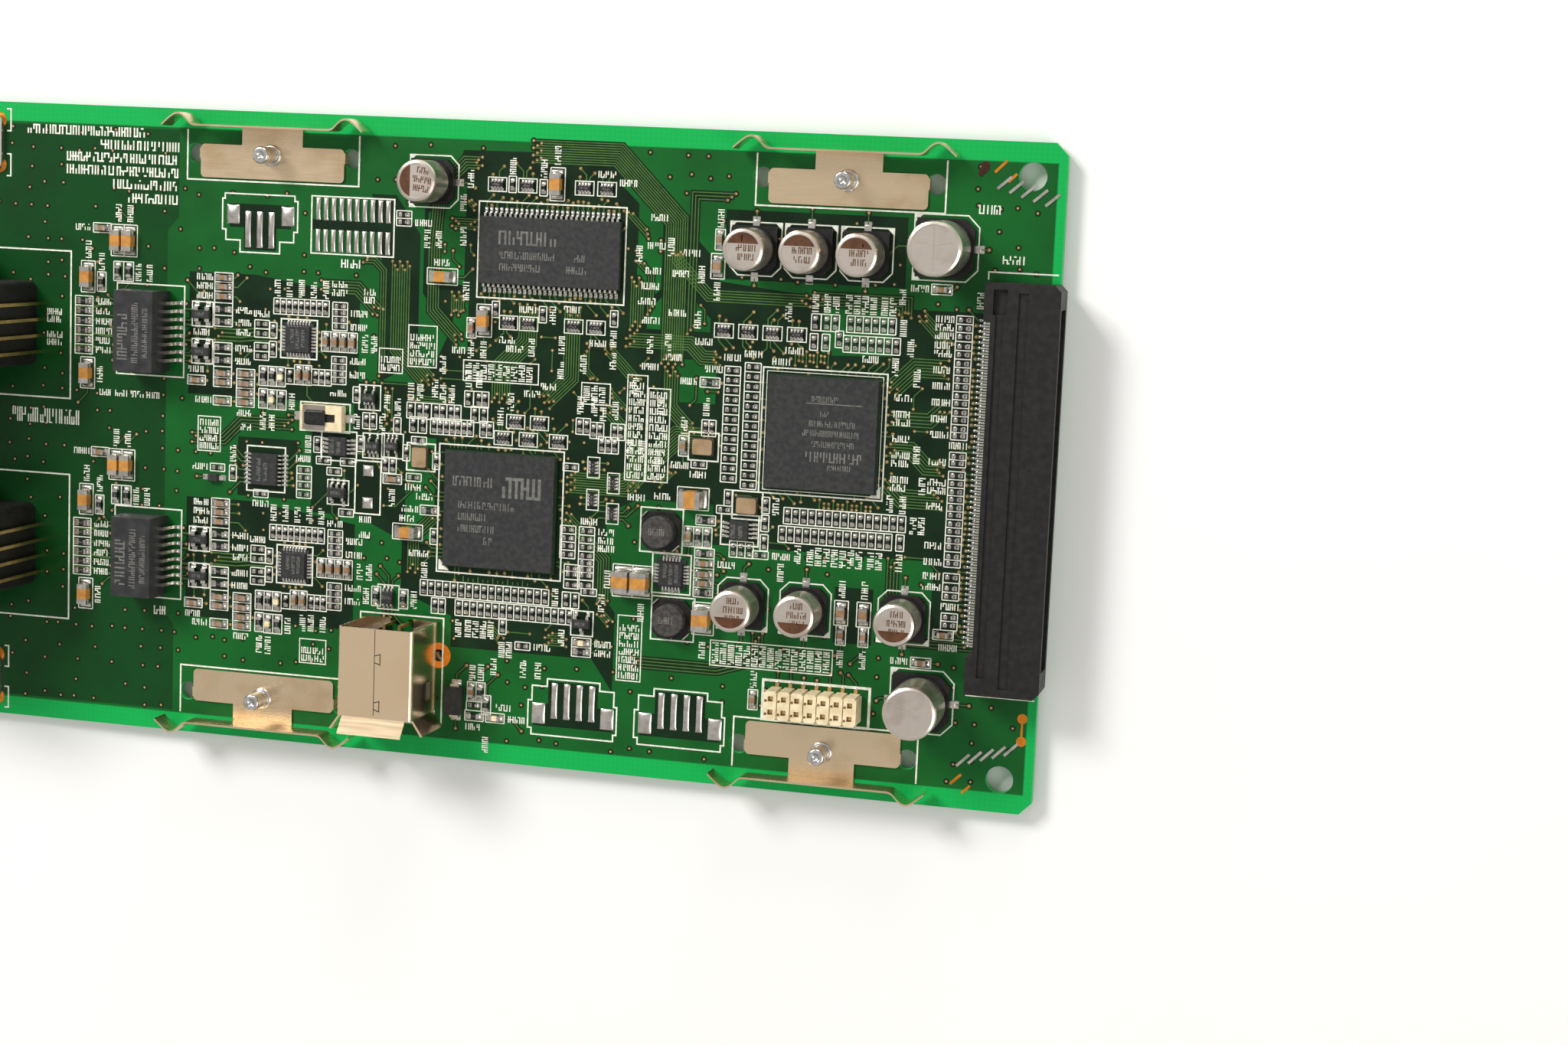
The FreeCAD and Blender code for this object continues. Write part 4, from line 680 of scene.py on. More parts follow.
SMALL_CHIP = 0.9      # chips narrower than this have their lines closer
for chip in chips:
    x0, y0, x1, y1 = chip["box"]
    cx, cy = (x0 + x1) / 2, (y0 + y1) / 2
    long, wide = (x1 - x0, y1 - y0) if chip["along_x"] else (y1 - y0, x1 - x0)
    past_end, past_side = (0.72, 0.34) if wide < SMALL_CHIP else (0.85, 0.42)
    half_long = long / 2 + past_end
    edges = []
    for side in (-1, 1):
        gap = wide / 2 + past_side
        for other in chips:
            left, front, far, rear = other["box"]
            ox, oy = (left + far) / 2 - cx, (front + rear) / 2 - cy
            along, off = (ox, oy) if chip["along_x"] else (oy, ox)
            if other["along_x"] == chip["along_x"] and abs(along) < 0.8 and 0.3 < off * side < 2 * gap + 0.55:
                gap = min(gap + 0.25, off * side / 2)
        edges.append(side * gap)
    lo, hi = edges
    corners = [(-half_long, lo), (half_long, lo), (half_long, hi), (-half_long, hi)]
    if not chip["along_x"]:
        corners = [(v, u) for u, v in corners]
    corners = [(cx + u, cy + v) for u, v in corners]
    for a, b in zip(corners, corners[1:] + corners[:1]):
        print_once(a, b)
print("printed lines round chips", len(drawn))

# %% Outlines of the larger parts
def frame_box(x0, y0, x1, y1, width=0.22):
    """A printed rectangle."""
    print_path([(x0, y0), (x1, y0), (x1, y1), (x0, y1)], width, closed=True)


def open_box(x0, x1, y_edge, y_inner, width=0.24):
    """A box that is open at the board's edge."""
    print_path([(x0, y_edge), (x0, y_inner), (x1, y_inner), (x1, y_edge)], width)


def print_steps(x, y, steps, width=0.22, closed=False):
    """A path of straight steps from a corner, along y and along x in turn."""
    path = [(x, y)]
    for k, step in enumerate(steps):
        x, y = (x + step, y) if k % 2 else (x, y + step)
        path.append((round(x, 4), round(y, 4)))
    print_path(path, width, closed)


SPRING_EDGE, SPRING_INNER = 3.1, 10.7
for x0, x1 in ((-136.2, -107.8), (-45.5, -17.3)):
    open_box(x0, x1, BOARD_W - SPRING_EDGE, BOARD_W - SPRING_INNER)
    open_box(x0, x1, SPRING_EDGE, SPRING_INNER)
JACK_TURN, JACK_END, JACK_WIDE = -172.0, -155.9, 23.2
for y in (16.4, 51.7):
    print_path([(JACK_TURN, y), (JACK_END, y), (JACK_END, y + JACK_WIDE), (JACK_TURN, y + JACK_WIDE)], 0.24)
# one box each; a fifth number is the width of its line
PART_BOXES = [(-147.9, 21.1, -136.4, 35.3), (-147.9, 56.2, -136.4, 70.4), (-88.3, 71.3, -65.1, 85.7),
              (-93.6, 29.0, -73.6, 48.7), (-43.2, 44.8, -24.5, 63.4), (-42.6, 45.3, -25.1, 62.9, 0.12),
              (-115.4, 76.6, -101.9, 85.3), (-116.6, 49.3, -108.4, 53.7), (-107.3, 37.0, -103.1, 45.2),
              (-61.2, 34.6, -54.6, 41.3), (-59.0, 21.4, -52.3, 28.0), (-41.2, 10.7, -24.9, 16.7, 0.4)]
for box in PART_BOXES:
    frame_box(*box)
for x, y in ((-117.1, 28.1), (-117.1, 63.3), (-56.1, 31.5)):
    frame_box(x - 3.0, y - 3.0, x + 3.0, y + 3.0)
for box in ((-125.4, 39.3, -119.0, 46.3), (-113.0, 44.9, -107.2, 49.5), (-48.7, 36.6, -42.9, 41.2)):
    frame_box(*box)
for x, y in ((-96.6, 46.4), (-51.9, 51.0), (-44.8, 42.7)):
    frame_box(x - 2.3, y - 2.1, x + 2.3, y + 2.1)
for row in solid_boxes("clamp_diodes") + solid_boxes("regulators"):
    x, y = middle(row)
    frame_box(x - 1.75, y - 1.9, x + 1.75, y + 1.9, 0.18)
for row in solid_boxes("resistor_arrays"):
    frame_box(row[0] - 0.45, row[1] - 0.55, row[3] + 0.45, row[4] + 0.55, 0.15)
print_steps(-105.9, 3.2, (18.5, 13.7, -16.8, -12.8), 0.24)
print_path([(-93.4, 4.9), (-93.4, 21.0)], 0.24)
FRONT_STEPS = (1.0, -0.6, 4.3, 0.6, 2.3, 2.4, 1.2, 8.4, -1.2, 2.3, -2.3, 0.5, -4.3, -0.5, -1.0)
REAR_STEPS = (-0.8, -0.4, -4.7, 0.6, -1.6, 2.4, -1.8, 6.6, 1.8, 2.3, 1.6, 0.6, 4.7, -0.5, 0.8)
for dx in (0.0, 17.0):
    print_steps(-77.5 + dx, 5.0, FRONT_STEPS, closed=True)
print_steps(-129.8, 85.1, REAR_STEPS, closed=True)
print_steps(-10.5, 77.9, (1.1, 10.1))
print_steps(-10.5, 18.2, (-1.1, 10.1))
for y in (9.4, 2.7, 87.9, 94.9):
    print_path([(-167.2, y - 1.7), (-166.5, y - 1.7), (-166.5, y + 1.7), (-167.2, y + 1.7)], 0.22)
print("large outlines drawn")

# %% Outlines of the can capacitors, with their cut and filled corners
small_cans, large_cans = solid_boxes("capacitor_small_cans"), solid_boxes("capacitor_large_cans")
ROW_ENDS = (-90, -18)      # cans between these x stand in rows
CAN_MARGIN, CAN_CUT, CAN_FILL = 0.75, 0.42, 0.75


def can_direction(x, y):
    """Which way a can's cut corners face: right for the outer ones, inward for the rows."""
    if x < ROW_ENDS[0] or x > ROW_ENDS[1]:
        return 0.0
    return -90.0 if y > BOARD_W / 2 else 90.0


for row in small_cans + large_cans:
    x, y = middle(row)
    r = (row[3] - row[0]) / 2
    a, cut = r + CAN_MARGIN, CAN_CUT * r
    angle = can_direction(x, y)
    outline = [(-a, -a), (a - cut, -a), (a, -a + cut), (a, a - cut), (a - cut, a), (-a, a)]
    print_path(turn(outline, angle, x, y), 0.2, True)
    for side in (-1, 1):
        wedge = [(-a, side * a), (-a + CAN_FILL * cut, side * a), (-a, side * (a - CAN_FILL * cut))]
        print_lines.plate(turn(wedge, angle, x, y), INK_Z0, INK_Z1)
print("can outlines", len(small_cans) + len(large_cans))

# %% [markdown]
# ## Where the copper pour stops
# Most of the board is covered by a sheet of copper under the mask, the pour. Where many tracks run it is
# cut away and the mask looks darker, with islands of pour left in between. The end with the jacks is darker
# as a whole: that is painted shade, a dark plate standing in for the shadow that falls on that end. Each
# layer is a flat plate, about a hundredth of a millimetre above the last.

# %% Clearings in the copper pour
CLEARING_Z, ISLAND_Z, GAP_Z, TRACK_Z, VIA_Z = 0.006, 0.015, 0.024, 0.036, 0.046
clearings, islands = Stencil(), Stencil()
MIDDLE = [(-91.0, 93.2), (-66.0, 93.4), (-50.5, 78.0), (-50.5, 75.6), (-34.5, 74.0), (-34.5, 65.6),
          (-24.0, 66.0), (-24.0, 73.0), (-10.4, 73.0), (-10.4, 24.0), (-16.4, 24.0), (-16.4, 36.4),
          (-50.0, 36.4), (-50.0, 42.4), (-61.6, 42.4), (-66.6, 40.0), (-66.6, 27.2), (-64.8, 24.8),
          (-64.8, 12.6), (-68.2, 17.4), (-91.0, 17.4), (-91.0, 22.2), (-99.4, 25.4), (-99.4, 33.2),
          (-106.8, 36.6), (-114.6, 36.6), (-114.6, 49.2), (-107.8, 49.2), (-107.8, 57.4), (-98.4, 57.4),
          (-94.6, 61.2), (-92.6, 65.6), (-97.0, 71.4), (-97.0, 84.0), (-92.6, 89.0)]
CLEARINGS = [MIDDLE,
             [(-105.6, 86.0), (-101.6, 86.0), (-97.6, 80.2), (-97.6, 60.8), (-103.6, 57.6), (-103.6, 75.0)],
             [(-127.0, 38.4), (-117.0, 38.4), (-117.0, 47.6), (-127.0, 47.6)],
             [(-49.8, 86.2), (-22.6, 86.2), (-22.6, 76.0), (-49.8, 76.0)],
             [(-30.9, 23.2), (-25.1, 23.2), (-25.1, 31.6), (-30.9, 31.6)]]
JACK_PITCH_Y = 35.2
for y in (0.0, JACK_PITCH_Y):
    channel = ((-135.6, 18.6), (-107.2, 18.6), (-107.2, 35.2), (-124.4, 37.6), (-135.6, 37.6))
    CLEARINGS.append([(x, v + y) for x, v in channel])
for outline in CLEARINGS:
    clearings.plate(outline, 0.0, CLEARING_Z)
DARK_LANDS = ((-115.2, 80.2, -105.8, 81.8), (-105.8, 80.2, -102.1, 81.8), (-77.2, 6.4, -64.6, 9.9),
              (-60.2, 6.4, -47.6, 9.9), (-129.0, 80.0, -118.8, 83.6), (-126.6, 76.6, -121.2, 80.0),
              (-74.9, 9.9, -67.0, 13.4), (-57.9, 9.9, -50.0, 13.4), (-107.1, 40.3, -103.3, 42.0))
for x0, y0, x1, y1 in DARK_LANDS:
    clearings.rectangle(x0, y0, x1, y1, 0.0, CLEARING_Z)
ISLANDS = [[(-96.4, 83.4), (-96.4, 76.0), (-93.4, 73.0), (-90.4, 73.0), (-90.4, 88.4), (-92.4, 88.4)],
           [(-64.2, 90.4), (-59.4, 85.6), (-59.4, 74.0), (-63.2, 70.4), (-63.2, 86.4), (-66.0, 89.0)],
           [(-61.4, 70.6), (-58.6, 73.4), (-55.0, 73.4), (-51.6, 70.0), (-51.6, 68.0), (-61.4, 68.0)],
           [(-56.6, 63.8), (-52.0, 63.8), (-50.4, 62.2), (-50.4, 57.4), (-56.6, 57.4)],
           [(-96.6, 49.4), (-94.2, 49.4), (-94.2, 33.0), (-97.4, 33.0), (-99.0, 36.0), (-99.0, 47.0)],
           [(-92.0, 70.6), (-89.6, 70.6), (-89.6, 63.0), (-92.0, 63.0)]]
for outline in ISLANDS:
    islands.plate(outline, 0.0, ISLAND_Z)
# a dark plate over the jack end of the board: painted shade, not a change in the board itself
jack_end_shade = Stencil()
jack_end_shade.plate([(-183.9, 3.3), (-137.6, 3.3), (-137.6, 17.0), (-139.4, 19.0), (-139.4, 79.0),
                   (-137.6, 81.0), (-137.6, 94.4), (-183.9, 94.4)], 0.0, CLEARING_Z)
jack_end_shade.make("jack_end_shade", inks["jack_end_painted_shade"], "board_mask")
clearings.make("pour_clearings", inks["mask_over_laminate"], "board_mask")
islands.make("pour_islands", inks["mask_over_pour"], "board_mask")

# %% [markdown]
# ## Copper tracks
# Under the mask a track is a low ridge of lighter green in a dark gap where the copper pour stops. A gap is
# a wider ribbon just under the track. Buses run side by side, so a bus is one path moved sideways again and
# again. Short tracks start at every land and end in a via, the plated hole that takes them to another
# layer.

# %% Tracks and vias
tracks, gaps, via_rings, via_holes = Stencil(), Stencil(), Stencil(), Stencil()
dice = random.Random(7)
VIA_GAP, VIA_KEEP, TRACK_GAP, TRACK_KEEP = 0.24, 0.1, 0.42, 0.08
HOLE_SHARE, PLUG_DROP = 0.5, 0.01


def via(x, y, r=0.27):
    """A copper ring with a plug in it, in its own gap in the pour."""
    gaps.disc(x, y, r + VIA_GAP, 0.0, GAP_Z, 10)
    via_rings.ring(x, y, r * HOLE_SHARE, r, 0.0, VIA_Z, 12)
    via_holes.disc(x, y, r * HOLE_SHARE, 0.0, VIA_Z - PLUG_DROP, 8)
    copper_ground.take(x - r - VIA_KEEP, y - r - VIA_KEEP, x + r + VIA_KEEP, y + r + VIA_KEEP)


def along(path, step=0.25):
    """Points every step along a path."""
    for a, b in zip(path, path[1:]):
        length = math.dist(a, b)
        for i in range(int(length / step) + 1):
            t = min(1.0, i * step / length) if length else 0.0
            yield a[0] + (b[0] - a[0]) * t, a[1] + (b[1] - a[1]) * t


def track(path, width=0.16):
    """A track in its gap; the ground it takes is remembered."""
    tracks.line(path, width, 0.0, TRACK_Z)
    gaps.line(path, width + TRACK_GAP, 0.0, GAP_Z)
    for x, y in along(path):
        copper_ground.take(x - width / 2 - TRACK_KEEP, y - width / 2 - TRACK_KEEP,
                           x + width / 2 + TRACK_KEEP, y + width / 2 + TRACK_KEEP)


STAGGER, LONGEST_STAGGER, BUS_VIA = 0.62, 0.35, 0.24      # mm, share of the leg, radius of the vias


def bus(path, count, pitch=0.36, width=0.16, end_vias=True):
    """Parallel tracks centred on a path, with a via at each end, staggered so that they clear each other."""
    for k in range(count):
        moved = [Vector(p) for p in sideways(path, (k - (count - 1) / 2) * pitch)]
        for end, inner in ((0, 1), (-1, -2)):
            leg = moved[inner] - moved[end]
            moved[end] += leg.normalized() * min((k % 3) * STAGGER, LONGEST_STAGGER * leg.length)
        moved = [tuple(p) for p in moved]
        track(moved, width)
        if end_vias:
            via(*moved[0], BUS_VIA)
            via(*moved[-1], BUS_VIA)


# path, how many tracks side by side, their pitch
BUSES = [
    ([(-80.0, 93.4), (-66.6, 93.4), (-57.3, 84.1), (-57.3, 63.0)], 10),
    ([(-88.0, 91.4), (-90.6, 91.4), (-94.6, 87.2), (-95.3, 78.5), (-95.3, 69.0), (-90.8, 64.5)], 5, 0.42),
    ([(-100.6, 76.0), (-100.6, 62.8), (-95.5, 57.7)], 8, 0.4),
    ([(-106.8, 76.0), (-104.9, 76.0), (-103.4, 74.5), (-103.4, 58.4)], 3, 0.4),
    ([(-80.0, 70.6), (-80.0, 65.0), (-84.0, 61.0), (-84.0, 55.6)], 8, 0.4),
    ([(-73.0, 70.6), (-73.0, 60.0), (-77.0, 56.0)], 7, 0.4),
    ([(-73.0, 44.2), (-64.0, 44.2), (-56.0, 52.2), (-50.6, 52.2)], 9, 0.38),
    ([(-67.5, 56.0), (-62.6, 51.0), (-62.6, 43.6)], 5, 0.4),
    ([(-57.3, 62.5), (-57.3, 56.5), (-53.6, 52.8)], 6, 0.4),
    ([(-64.5, 66.2), (-54.6, 66.2), (-52.6, 64.2), (-49.9, 64.2)], 6, 0.4),
    ([(-24.2, 60.8), (-20.4, 64.6), (-15.6, 64.6)], 7, 0.44),
    ([(-24.2, 57.0), (-18.0, 57.0), (-15.8, 59.2)], 5, 0.5),
    ([(-24.2, 52.6), (-20.6, 52.6), (-18.2, 50.2), (-15.6, 50.2)], 6, 0.44),
    ([(-24.2, 48.0), (-21.6, 45.4), (-15.6, 45.4)], 7, 0.44),
    ([(-57.0, 79.6), (-57.0, 78.4), (-52.0, 73.4), (-36.6, 73.4)], 5, 0.4),
    ([(-36.0, 63.9), (-36.0, 66.0)], 10, 0.55),
    ([(-30.0, 44.3), (-30.0, 42.8)], 12, 0.7),
    ([(-93.6, 38.0), (-97.5, 34.1), (-97.5, 28.5)], 5, 0.42),
    ([(-84.0, 28.6), (-84.0, 27.6)], 14, 0.8, 0.16, False),
    ([(-73.2, 39.2), (-66.8, 32.8), (-66.8, 26.0)], 5, 0.42),
    ([(-118.0, 50.0), (-126.5, 50.0), (-129.5, 47.0), (-134.8, 47.0)], 4, 0.5),
    ([(-104.0, 68.0), (-107.6, 71.6), (-113.6, 71.6)], 5, 0.45),
    ([(-48.5, 88.0), (-54.6, 88.0), (-54.6, 67.6)], 3, 0.5),
    ([(-22.4, 71.8), (-22.4, 73.8), (-36.0, 73.8)], 5, 0.45),
    ([(-9.9, 24.4), (-20.0, 24.4), (-22.4, 26.8), (-22.4, 36.4)], 4, 0.5),
    ([(-62.0, 17.6), (-48.6, 17.6), (-42.4, 19.6), (-42.4, 23.6)], 4, 0.5),
]
for row in BUSES:
    bus(*row)
# from each jack to its transformer and on to its flat chip
for y in (28.1, 63.3):
    for k in range(4):
        near_jack, off = (k - 1.5) * 2.1, (k - 1.5) * 2.54
        track([(-155.2, y + near_jack), (-151.6, y + near_jack), (-150.0, y + off), (-147.6, y + off)], 0.4)
        track([(-136.6, y + off * 0.95), (-135.0, y + off * 0.95)], 0.3)
    bus([(-131.2, y), (-127.0, y), (-124.6, y + 0.3), (-120.4, y + 0.3)], 4, 0.6, 0.2)
print("bus tracks", tracks.plates, "vias", via_rings.plates)

# %% Short tracks from the lands to their vias
PATH_KEEP, END_KEEP, STRAY_KEEP = 0.12, 0.36, 0.33


def clear(path):
    """Whether a new track may run along a path."""
    return all(copper_ground.free_round(x, y, PATH_KEEP) for x, y in along(path, 0.2))


def escape(face, way, start, lengths, tries=14):
    """Leaves a land straight on, bends by 45 degrees and ends in a via, if the ground is free."""
    x, y = face[0] + way[0] * start, face[1] + way[1] * start
    for _ in range(tries):
        run = dice.uniform(*lengths)
        side = dice.choice((-1, 0, 1))
        slant = dice.uniform(0.4, 1.8) * abs(side)
        p1 = (x + way[0] * run, y + way[1] * run)
        p2 = (p1[0] + (way[0] + side * way[1]) * slant, p1[1] + (way[1] + side * way[0]) * slant)
        path = [(x, y), p1] + ([p2] if side else [])
        if clear(path) and copper_ground.free_round(*path[-1], END_KEEP):
            track([face] + path, 0.17)
            via(*path[-1])
            return True
    return False


made = sum(escape(face, way, 0.1 + width / 2 + 0.25, (0.15, 1.6)) for face, way, width, height in ends)
made += sum(escape(face, way, width * 0.7 + 0.25, (0.1, 1.4)) for face, way, width in feet)
print("short tracks", made)

# %% Escapes round the ball-grid chips
BALL_PITCH, CHIP_EDGE = 0.62, 0.3
for node in ("processor_cap", "logic_chip_cap"):
    ((x0, y0, z0, x1, y1, z1),) = solid_boxes(node)
    for i in range(int((x1 - x0) / BALL_PITCH)):
        t = 0.5 + i * BALL_PITCH
        for face, way in (((x0 - CHIP_EDGE, y0 + t), (-1, 0)), ((x1 + CHIP_EDGE, y0 + t), (1, 0)),
                          ((x0 + t, y0 - CHIP_EDGE), (0, -1)), ((x0 + t, y1 + CHIP_EDGE), (0, 1))):
            escape(face, way, 0.05, (0.3, 2.2), 6)
print("tracks so far", tracks.plates)

# %% Small bundles, stray tracks and stitching vias
def inside(outline, x, y):
    """Whether a point is inside a closed outline."""
    hit = False
    for (xa, ya), (xb, yb) in zip(outline, outline[1:] + outline[:1]):
        if (ya > y) != (yb > y) and x < xa + (y - ya) * (xb - xa) / (yb - ya):
            hit = not hit
    return hit


def wander(shortest, longest):
    """A bent path inside the clearing, turning by 45 degrees, or None if it leaves."""
    heading = dice.randrange(8) * math.pi / 4
    path = [(-10.0 - dice.random() * 100.0, 17.0 + dice.random() * 76.0)]
    for _ in range(dice.choice((1, 2, 2, 3))):
        length = dice.uniform(shortest, longest)
        path.append((path[-1][0] + length * math.cos(heading), path[-1][1] + length * math.sin(heading)))
        heading += dice.choice((-1, 1)) * math.pi / 4
    return path if all(inside(MIDDLE, *p) for p in path) else None


BUNDLE_TRIES, BUNDLE_PITCH, STRAY_TRIES, FINE = 1500, 0.38, 2600, 0.15
bundles = 0
for _ in range(BUNDLE_TRIES):
    path, count = wander(2.0, 8.0), dice.choice((3, 4, 5, 6))
    if path and all(clear(sideways(path, (k - (count - 1) / 2) * BUNDLE_PITCH)) for k in range(count)):
        bus(path, count, BUNDLE_PITCH, FINE)
        bundles += 1
print("bundles", bundles)
strays = 0
for _ in range(STRAY_TRIES):
    path = wander(0.8, 5.0)
    if path and clear(path) and all(copper_ground.free_round(*p, STRAY_KEEP) for p in (path[0], path[-1])):
        track(path, FINE)
        via(*path[0], BUS_VIA)
        via(*path[-1], BUS_VIA)
        strays += 1
print("stray tracks", strays)
STITCH_PITCH, STITCH_KEEP, STITCH_SHARE, STITCH_R = 2.9, 0.7, 0.6, 0.22
stitched = 0
for i in range(int(BOARD_L / STITCH_PITCH)):
    for j in range(int(BOARD_W / STITCH_PITCH)):
        x = -3.6 - i * STITCH_PITCH + dice.uniform(-0.5, 0.5)
        y = 3.9 + j * STITCH_PITCH + dice.uniform(-0.5, 0.5)
        on_board = y < BOARD_W - 3.6 and x > -BOARD_L + 4
        if on_board and copper_ground.free_round(x, y, STITCH_KEEP) and dice.random() < STITCH_SHARE:
            via(x, y, STITCH_R)
            stitched += 1
print("vias", via_rings.plates, "of them stitching", stitched)

# %% [markdown]
# ## Names without words
# A real board carries a printed name beside every chip. Names are left out here, and short rows of posts
# with a few rungs between them stand in, so the board stays as busy as it is. Each goes on whichever side
# of its chip is free.

# %% Tally marks
TALL_SHARE, SHORT_POST, RUNG_SHARE = 0.7, 0.55, 0.5      # tall posts, height of the others, gaps with a rung


def tally(stencil, x, y, length, height, z0, z1, upright=False, stroke=0.16):
    """A row of posts of uneven height, some joined by a rung, from a corner, along x or along y."""
    at = 0.0
    while at + stroke <= length:
        tall = height if dice.random() < TALL_SHARE else height * SHORT_POST
        low = 0.0 if dice.random() < TALL_SHARE else height - tall
        step = stroke * dice.choice((1.9, 2.1, 2.9))
        bits = [(at, low, at + stroke, low + tall)]
        if dice.random() < RUNG_SHARE and at + step + stroke <= length:
            level = dice.choice((0.0, (height - stroke) / 2, height - stroke))
            bits.append((at + stroke, level, at + step, level + stroke))
        for u0, v0, u1, v1 in bits:
            if upright:
                stencil.rectangle(x - v1, y + u0, x - v0, y + u1, z0, z1)
            else:
                stencil.rectangle(x + u0, y + v0, x + u1, y + v1, z0, z1)
        at += step


def print_name(x0, y0, x1, y1):
    """A name in a box if the ground is free."""
    if not print_ground.free(x0 - 0.1, y0 - 0.1, x1 + 0.1, y1 + 0.1):
        return False
    if x1 - x0 >= y1 - y0:
        tally(print_lines, x0, y0, x1 - x0, y1 - y0, INK_Z0, INK_Z1)
    else:
        tally(print_lines, x1, y0, y1 - y0, x1 - x0, INK_Z0, INK_Z1, upright=True)
    print_ground.take(x0 - 0.05, y0 - 0.05, x1 + 0.05, y1 + 0.05)
    return True


# %% Names beside the chips
NAME_H, NAME_L, END_GAP = 1.0, 2.75, 0.5
OFFSETS = (0.5, 0.8, 1.2, 1.8, 2.6, 3.4)
named = 0
for chip in chips:
    x0, y0, x1, y1 = chip["box"]
    cx, cy = (x0 + x1) / 2, (y0 + y1) / 2
    spots = []
    for off in OFFSETS:
        for side in (1, -1):
            if chip["along_x"]:
                bx = x1 + off + END_GAP if side > 0 else x0 - off - END_GAP - NAME_L
                spots.append((bx, cy - NAME_H / 2, bx + NAME_L, cy + NAME_H / 2))
                by = y1 + off if side > 0 else y0 - off - NAME_H
                spots.append((cx - NAME_L / 2, by, cx + NAME_L / 2, by + NAME_H))
            else:
                by = y1 + off + END_GAP if side > 0 else y0 - off - END_GAP - NAME_L
                spots.append((cx - NAME_H / 2, by, cx + NAME_H / 2, by + NAME_L))
                bx = x1 + off if side > 0 else x0 - off - NAME_H
                spots.append((bx, cy - NAME_L / 2, bx + NAME_H, cy + NAME_L / 2))
    named += any(print_name(*spot) for spot in spots)
print("named chips", named, "of", len(chips))

# %% Boxed lists of names
LIST_PITCH, BLOCK_PITCH, LIST_MARGIN = NAME_H * 1.22, NAME_H * 1.2, 0.3


def name_list(x0, y0, x1, y1, upright):
    """A box filled with rows of names."""
    frame_box(x0, y0, x1, y1, 0.16)
    across = (x1 - x0) if upright else (y1 - y0)
    for k in range(int((across - LIST_MARGIN) / LIST_PITCH)):
        at, length = LIST_MARGIN + k * LIST_PITCH, (y1 - y0 if upright else x1 - x0) - 2 * LIST_MARGIN
        x, y = (x0 + at + NAME_H, y0 + LIST_MARGIN) if upright else (x0 + LIST_MARGIN, y0 + at)
        tally(print_lines, x, y, length, NAME_H, INK_Z0, INK_Z1, upright)


# x0, y0, x1, y1, whether the rows run along y
LISTS = [(-90.1, 58.6, -78.1, 61.7, True), (-71.2, 56.2, -66.7, 59.4, True),
         (-64.0, 45.2, -60.9, 61.0, False), (-60.7, 45.2, -57.3, 59.2, False),
         (-99.1, 60.2, -94.5, 66.5, False), (-103.8, 59.0, -100.0, 62.7, False),
         (-49.6, 18.2, -30.8, 22.0, True), (-64.2, 14.6, -60.4, 24.6, False),
         (-133.8, 45.0, -130.0, 50.4, False), (-116.0, 12.8, -111.6, 16.6, False)]
for row in LISTS:
    name_list(*row)
print("boxed lists", len(LISTS))

# %% Blocks of names between the parts
NAME_BLOCKS = [
    (-36.6, 73.6, -21.4, 76.6, True), (-19.4, 54.6, -16.5, 73.2, False), (-19.4, 37.6, -16.5, 53.0, False),
    (-39.6, 32.8, -21.4, 36.6, True), (-122.4, 70.6, -111.6, 74.2, True),
    (-122.4, 35.4, -111.6, 38.4, True), (-106.4, 57.6, -103.6, 69.6, False),
    (-134.8, 54.6, -131.4, 73.6, False), (-134.8, 19.0, -131.4, 38.4, False),
    (-98.4, 55.2, -84.8, 58.6, True), (-98.2, 27.4, -94.4, 36.0, False), (-75.0, 36.8, -71.0, 48.0, False),
    (-89.4, 18.2, -72.4, 21.6, True), (-86.8, 13.6, -66.4, 17.0, True), (-128.4, 51.0, -122.0, 52.4, False),
    (-126.6, 48.6, -118.6, 50.8, False), (-109.0, 64.6, -104.0, 72.4, False),
    (-109.0, 29.6, -104.0, 37.0, False), (-50.4, 62.6, -49.0, 65.4, True),
    (-56.6, 31.0, -49.2, 36.0, False), (-23.4, 44.0, -20.2, 62.4, False),
    (-124.8, 15.0, -117.4, 18.4, True), (-100.8, 36.4, -97.0, 44.8, False),
    (-67.0, 27.4, -63.6, 39.4, False), (-92.0, 62.6, -86.6, 66.2, False),
    (-114.8, 36.6, -107.6, 39.4, False), (-107.0, 45.6, -99.0, 49.6, True),
    (-160.0, 60.0, -156.8, 66.4, False), (-150.8, 52.6, -140.0, 54.4, False),
    (-152.6, 34.0, -145.0, 36.4, True), (-12.0, 73.6, -9.6, 76.6, True), (-31.4, 31.8, -24.6, 35.2, True),
    (-46.4, 22.6, -18.0, 24.2, False)]
BLOCK_NAME, NAME_GAP, NAME_TRIES = 3.0, 0.5, 900
filled = 0
for x0, y0, x1, y1, upright in NAME_BLOCKS:
    across = (x1 - x0) if upright else (y1 - y0)
    span = (y1 - y0) if upright else (x1 - x0)
    for k in range(int(across / BLOCK_PITCH)):
        at, room = k * BLOCK_PITCH, max(1, round(span / BLOCK_NAME))
        for m in range(room):
            start, length = m * span / room, span / room - NAME_GAP
            if upright:
                spot = (x0 + at, y0 + start, x0 + at + NAME_H, y0 + start + length)
            else:
                spot = (x0 + start, y0 + at, x0 + start + length, y0 + at + NAME_H)
            filled += print_name(*spot)
for _ in range(NAME_TRIES):
    x, y = -14.0 - dice.random() * 92.0, 20.0 + dice.random() * 70.0
    wide, tall = dice.choice(((NAME_H, NAME_L), (NAME_L, NAME_H)))
    if inside(MIDDLE, x, y) and inside(MIDDLE, x + wide, y + tall):
        filled += print_name(x, y, x + wide, y + tall)
print("names in blocks", filled)

# %% Rows in the rear corner and names of the large parts
CORNER_ROWS = [(-163.6, 93.0, 20.4), (-151.0, 91.0, 13.4), (-156.8, 89.0, 19.2), (-156.8, 87.0, 19.2),
               (-148.8, 85.0, 11.2), (-146.2, 82.9, 8.6)]
for x, y, length in CORNER_ROWS:
    tally(print_lines, x, y, length, 1.45, INK_Z0, INK_Z1, stroke=0.24)
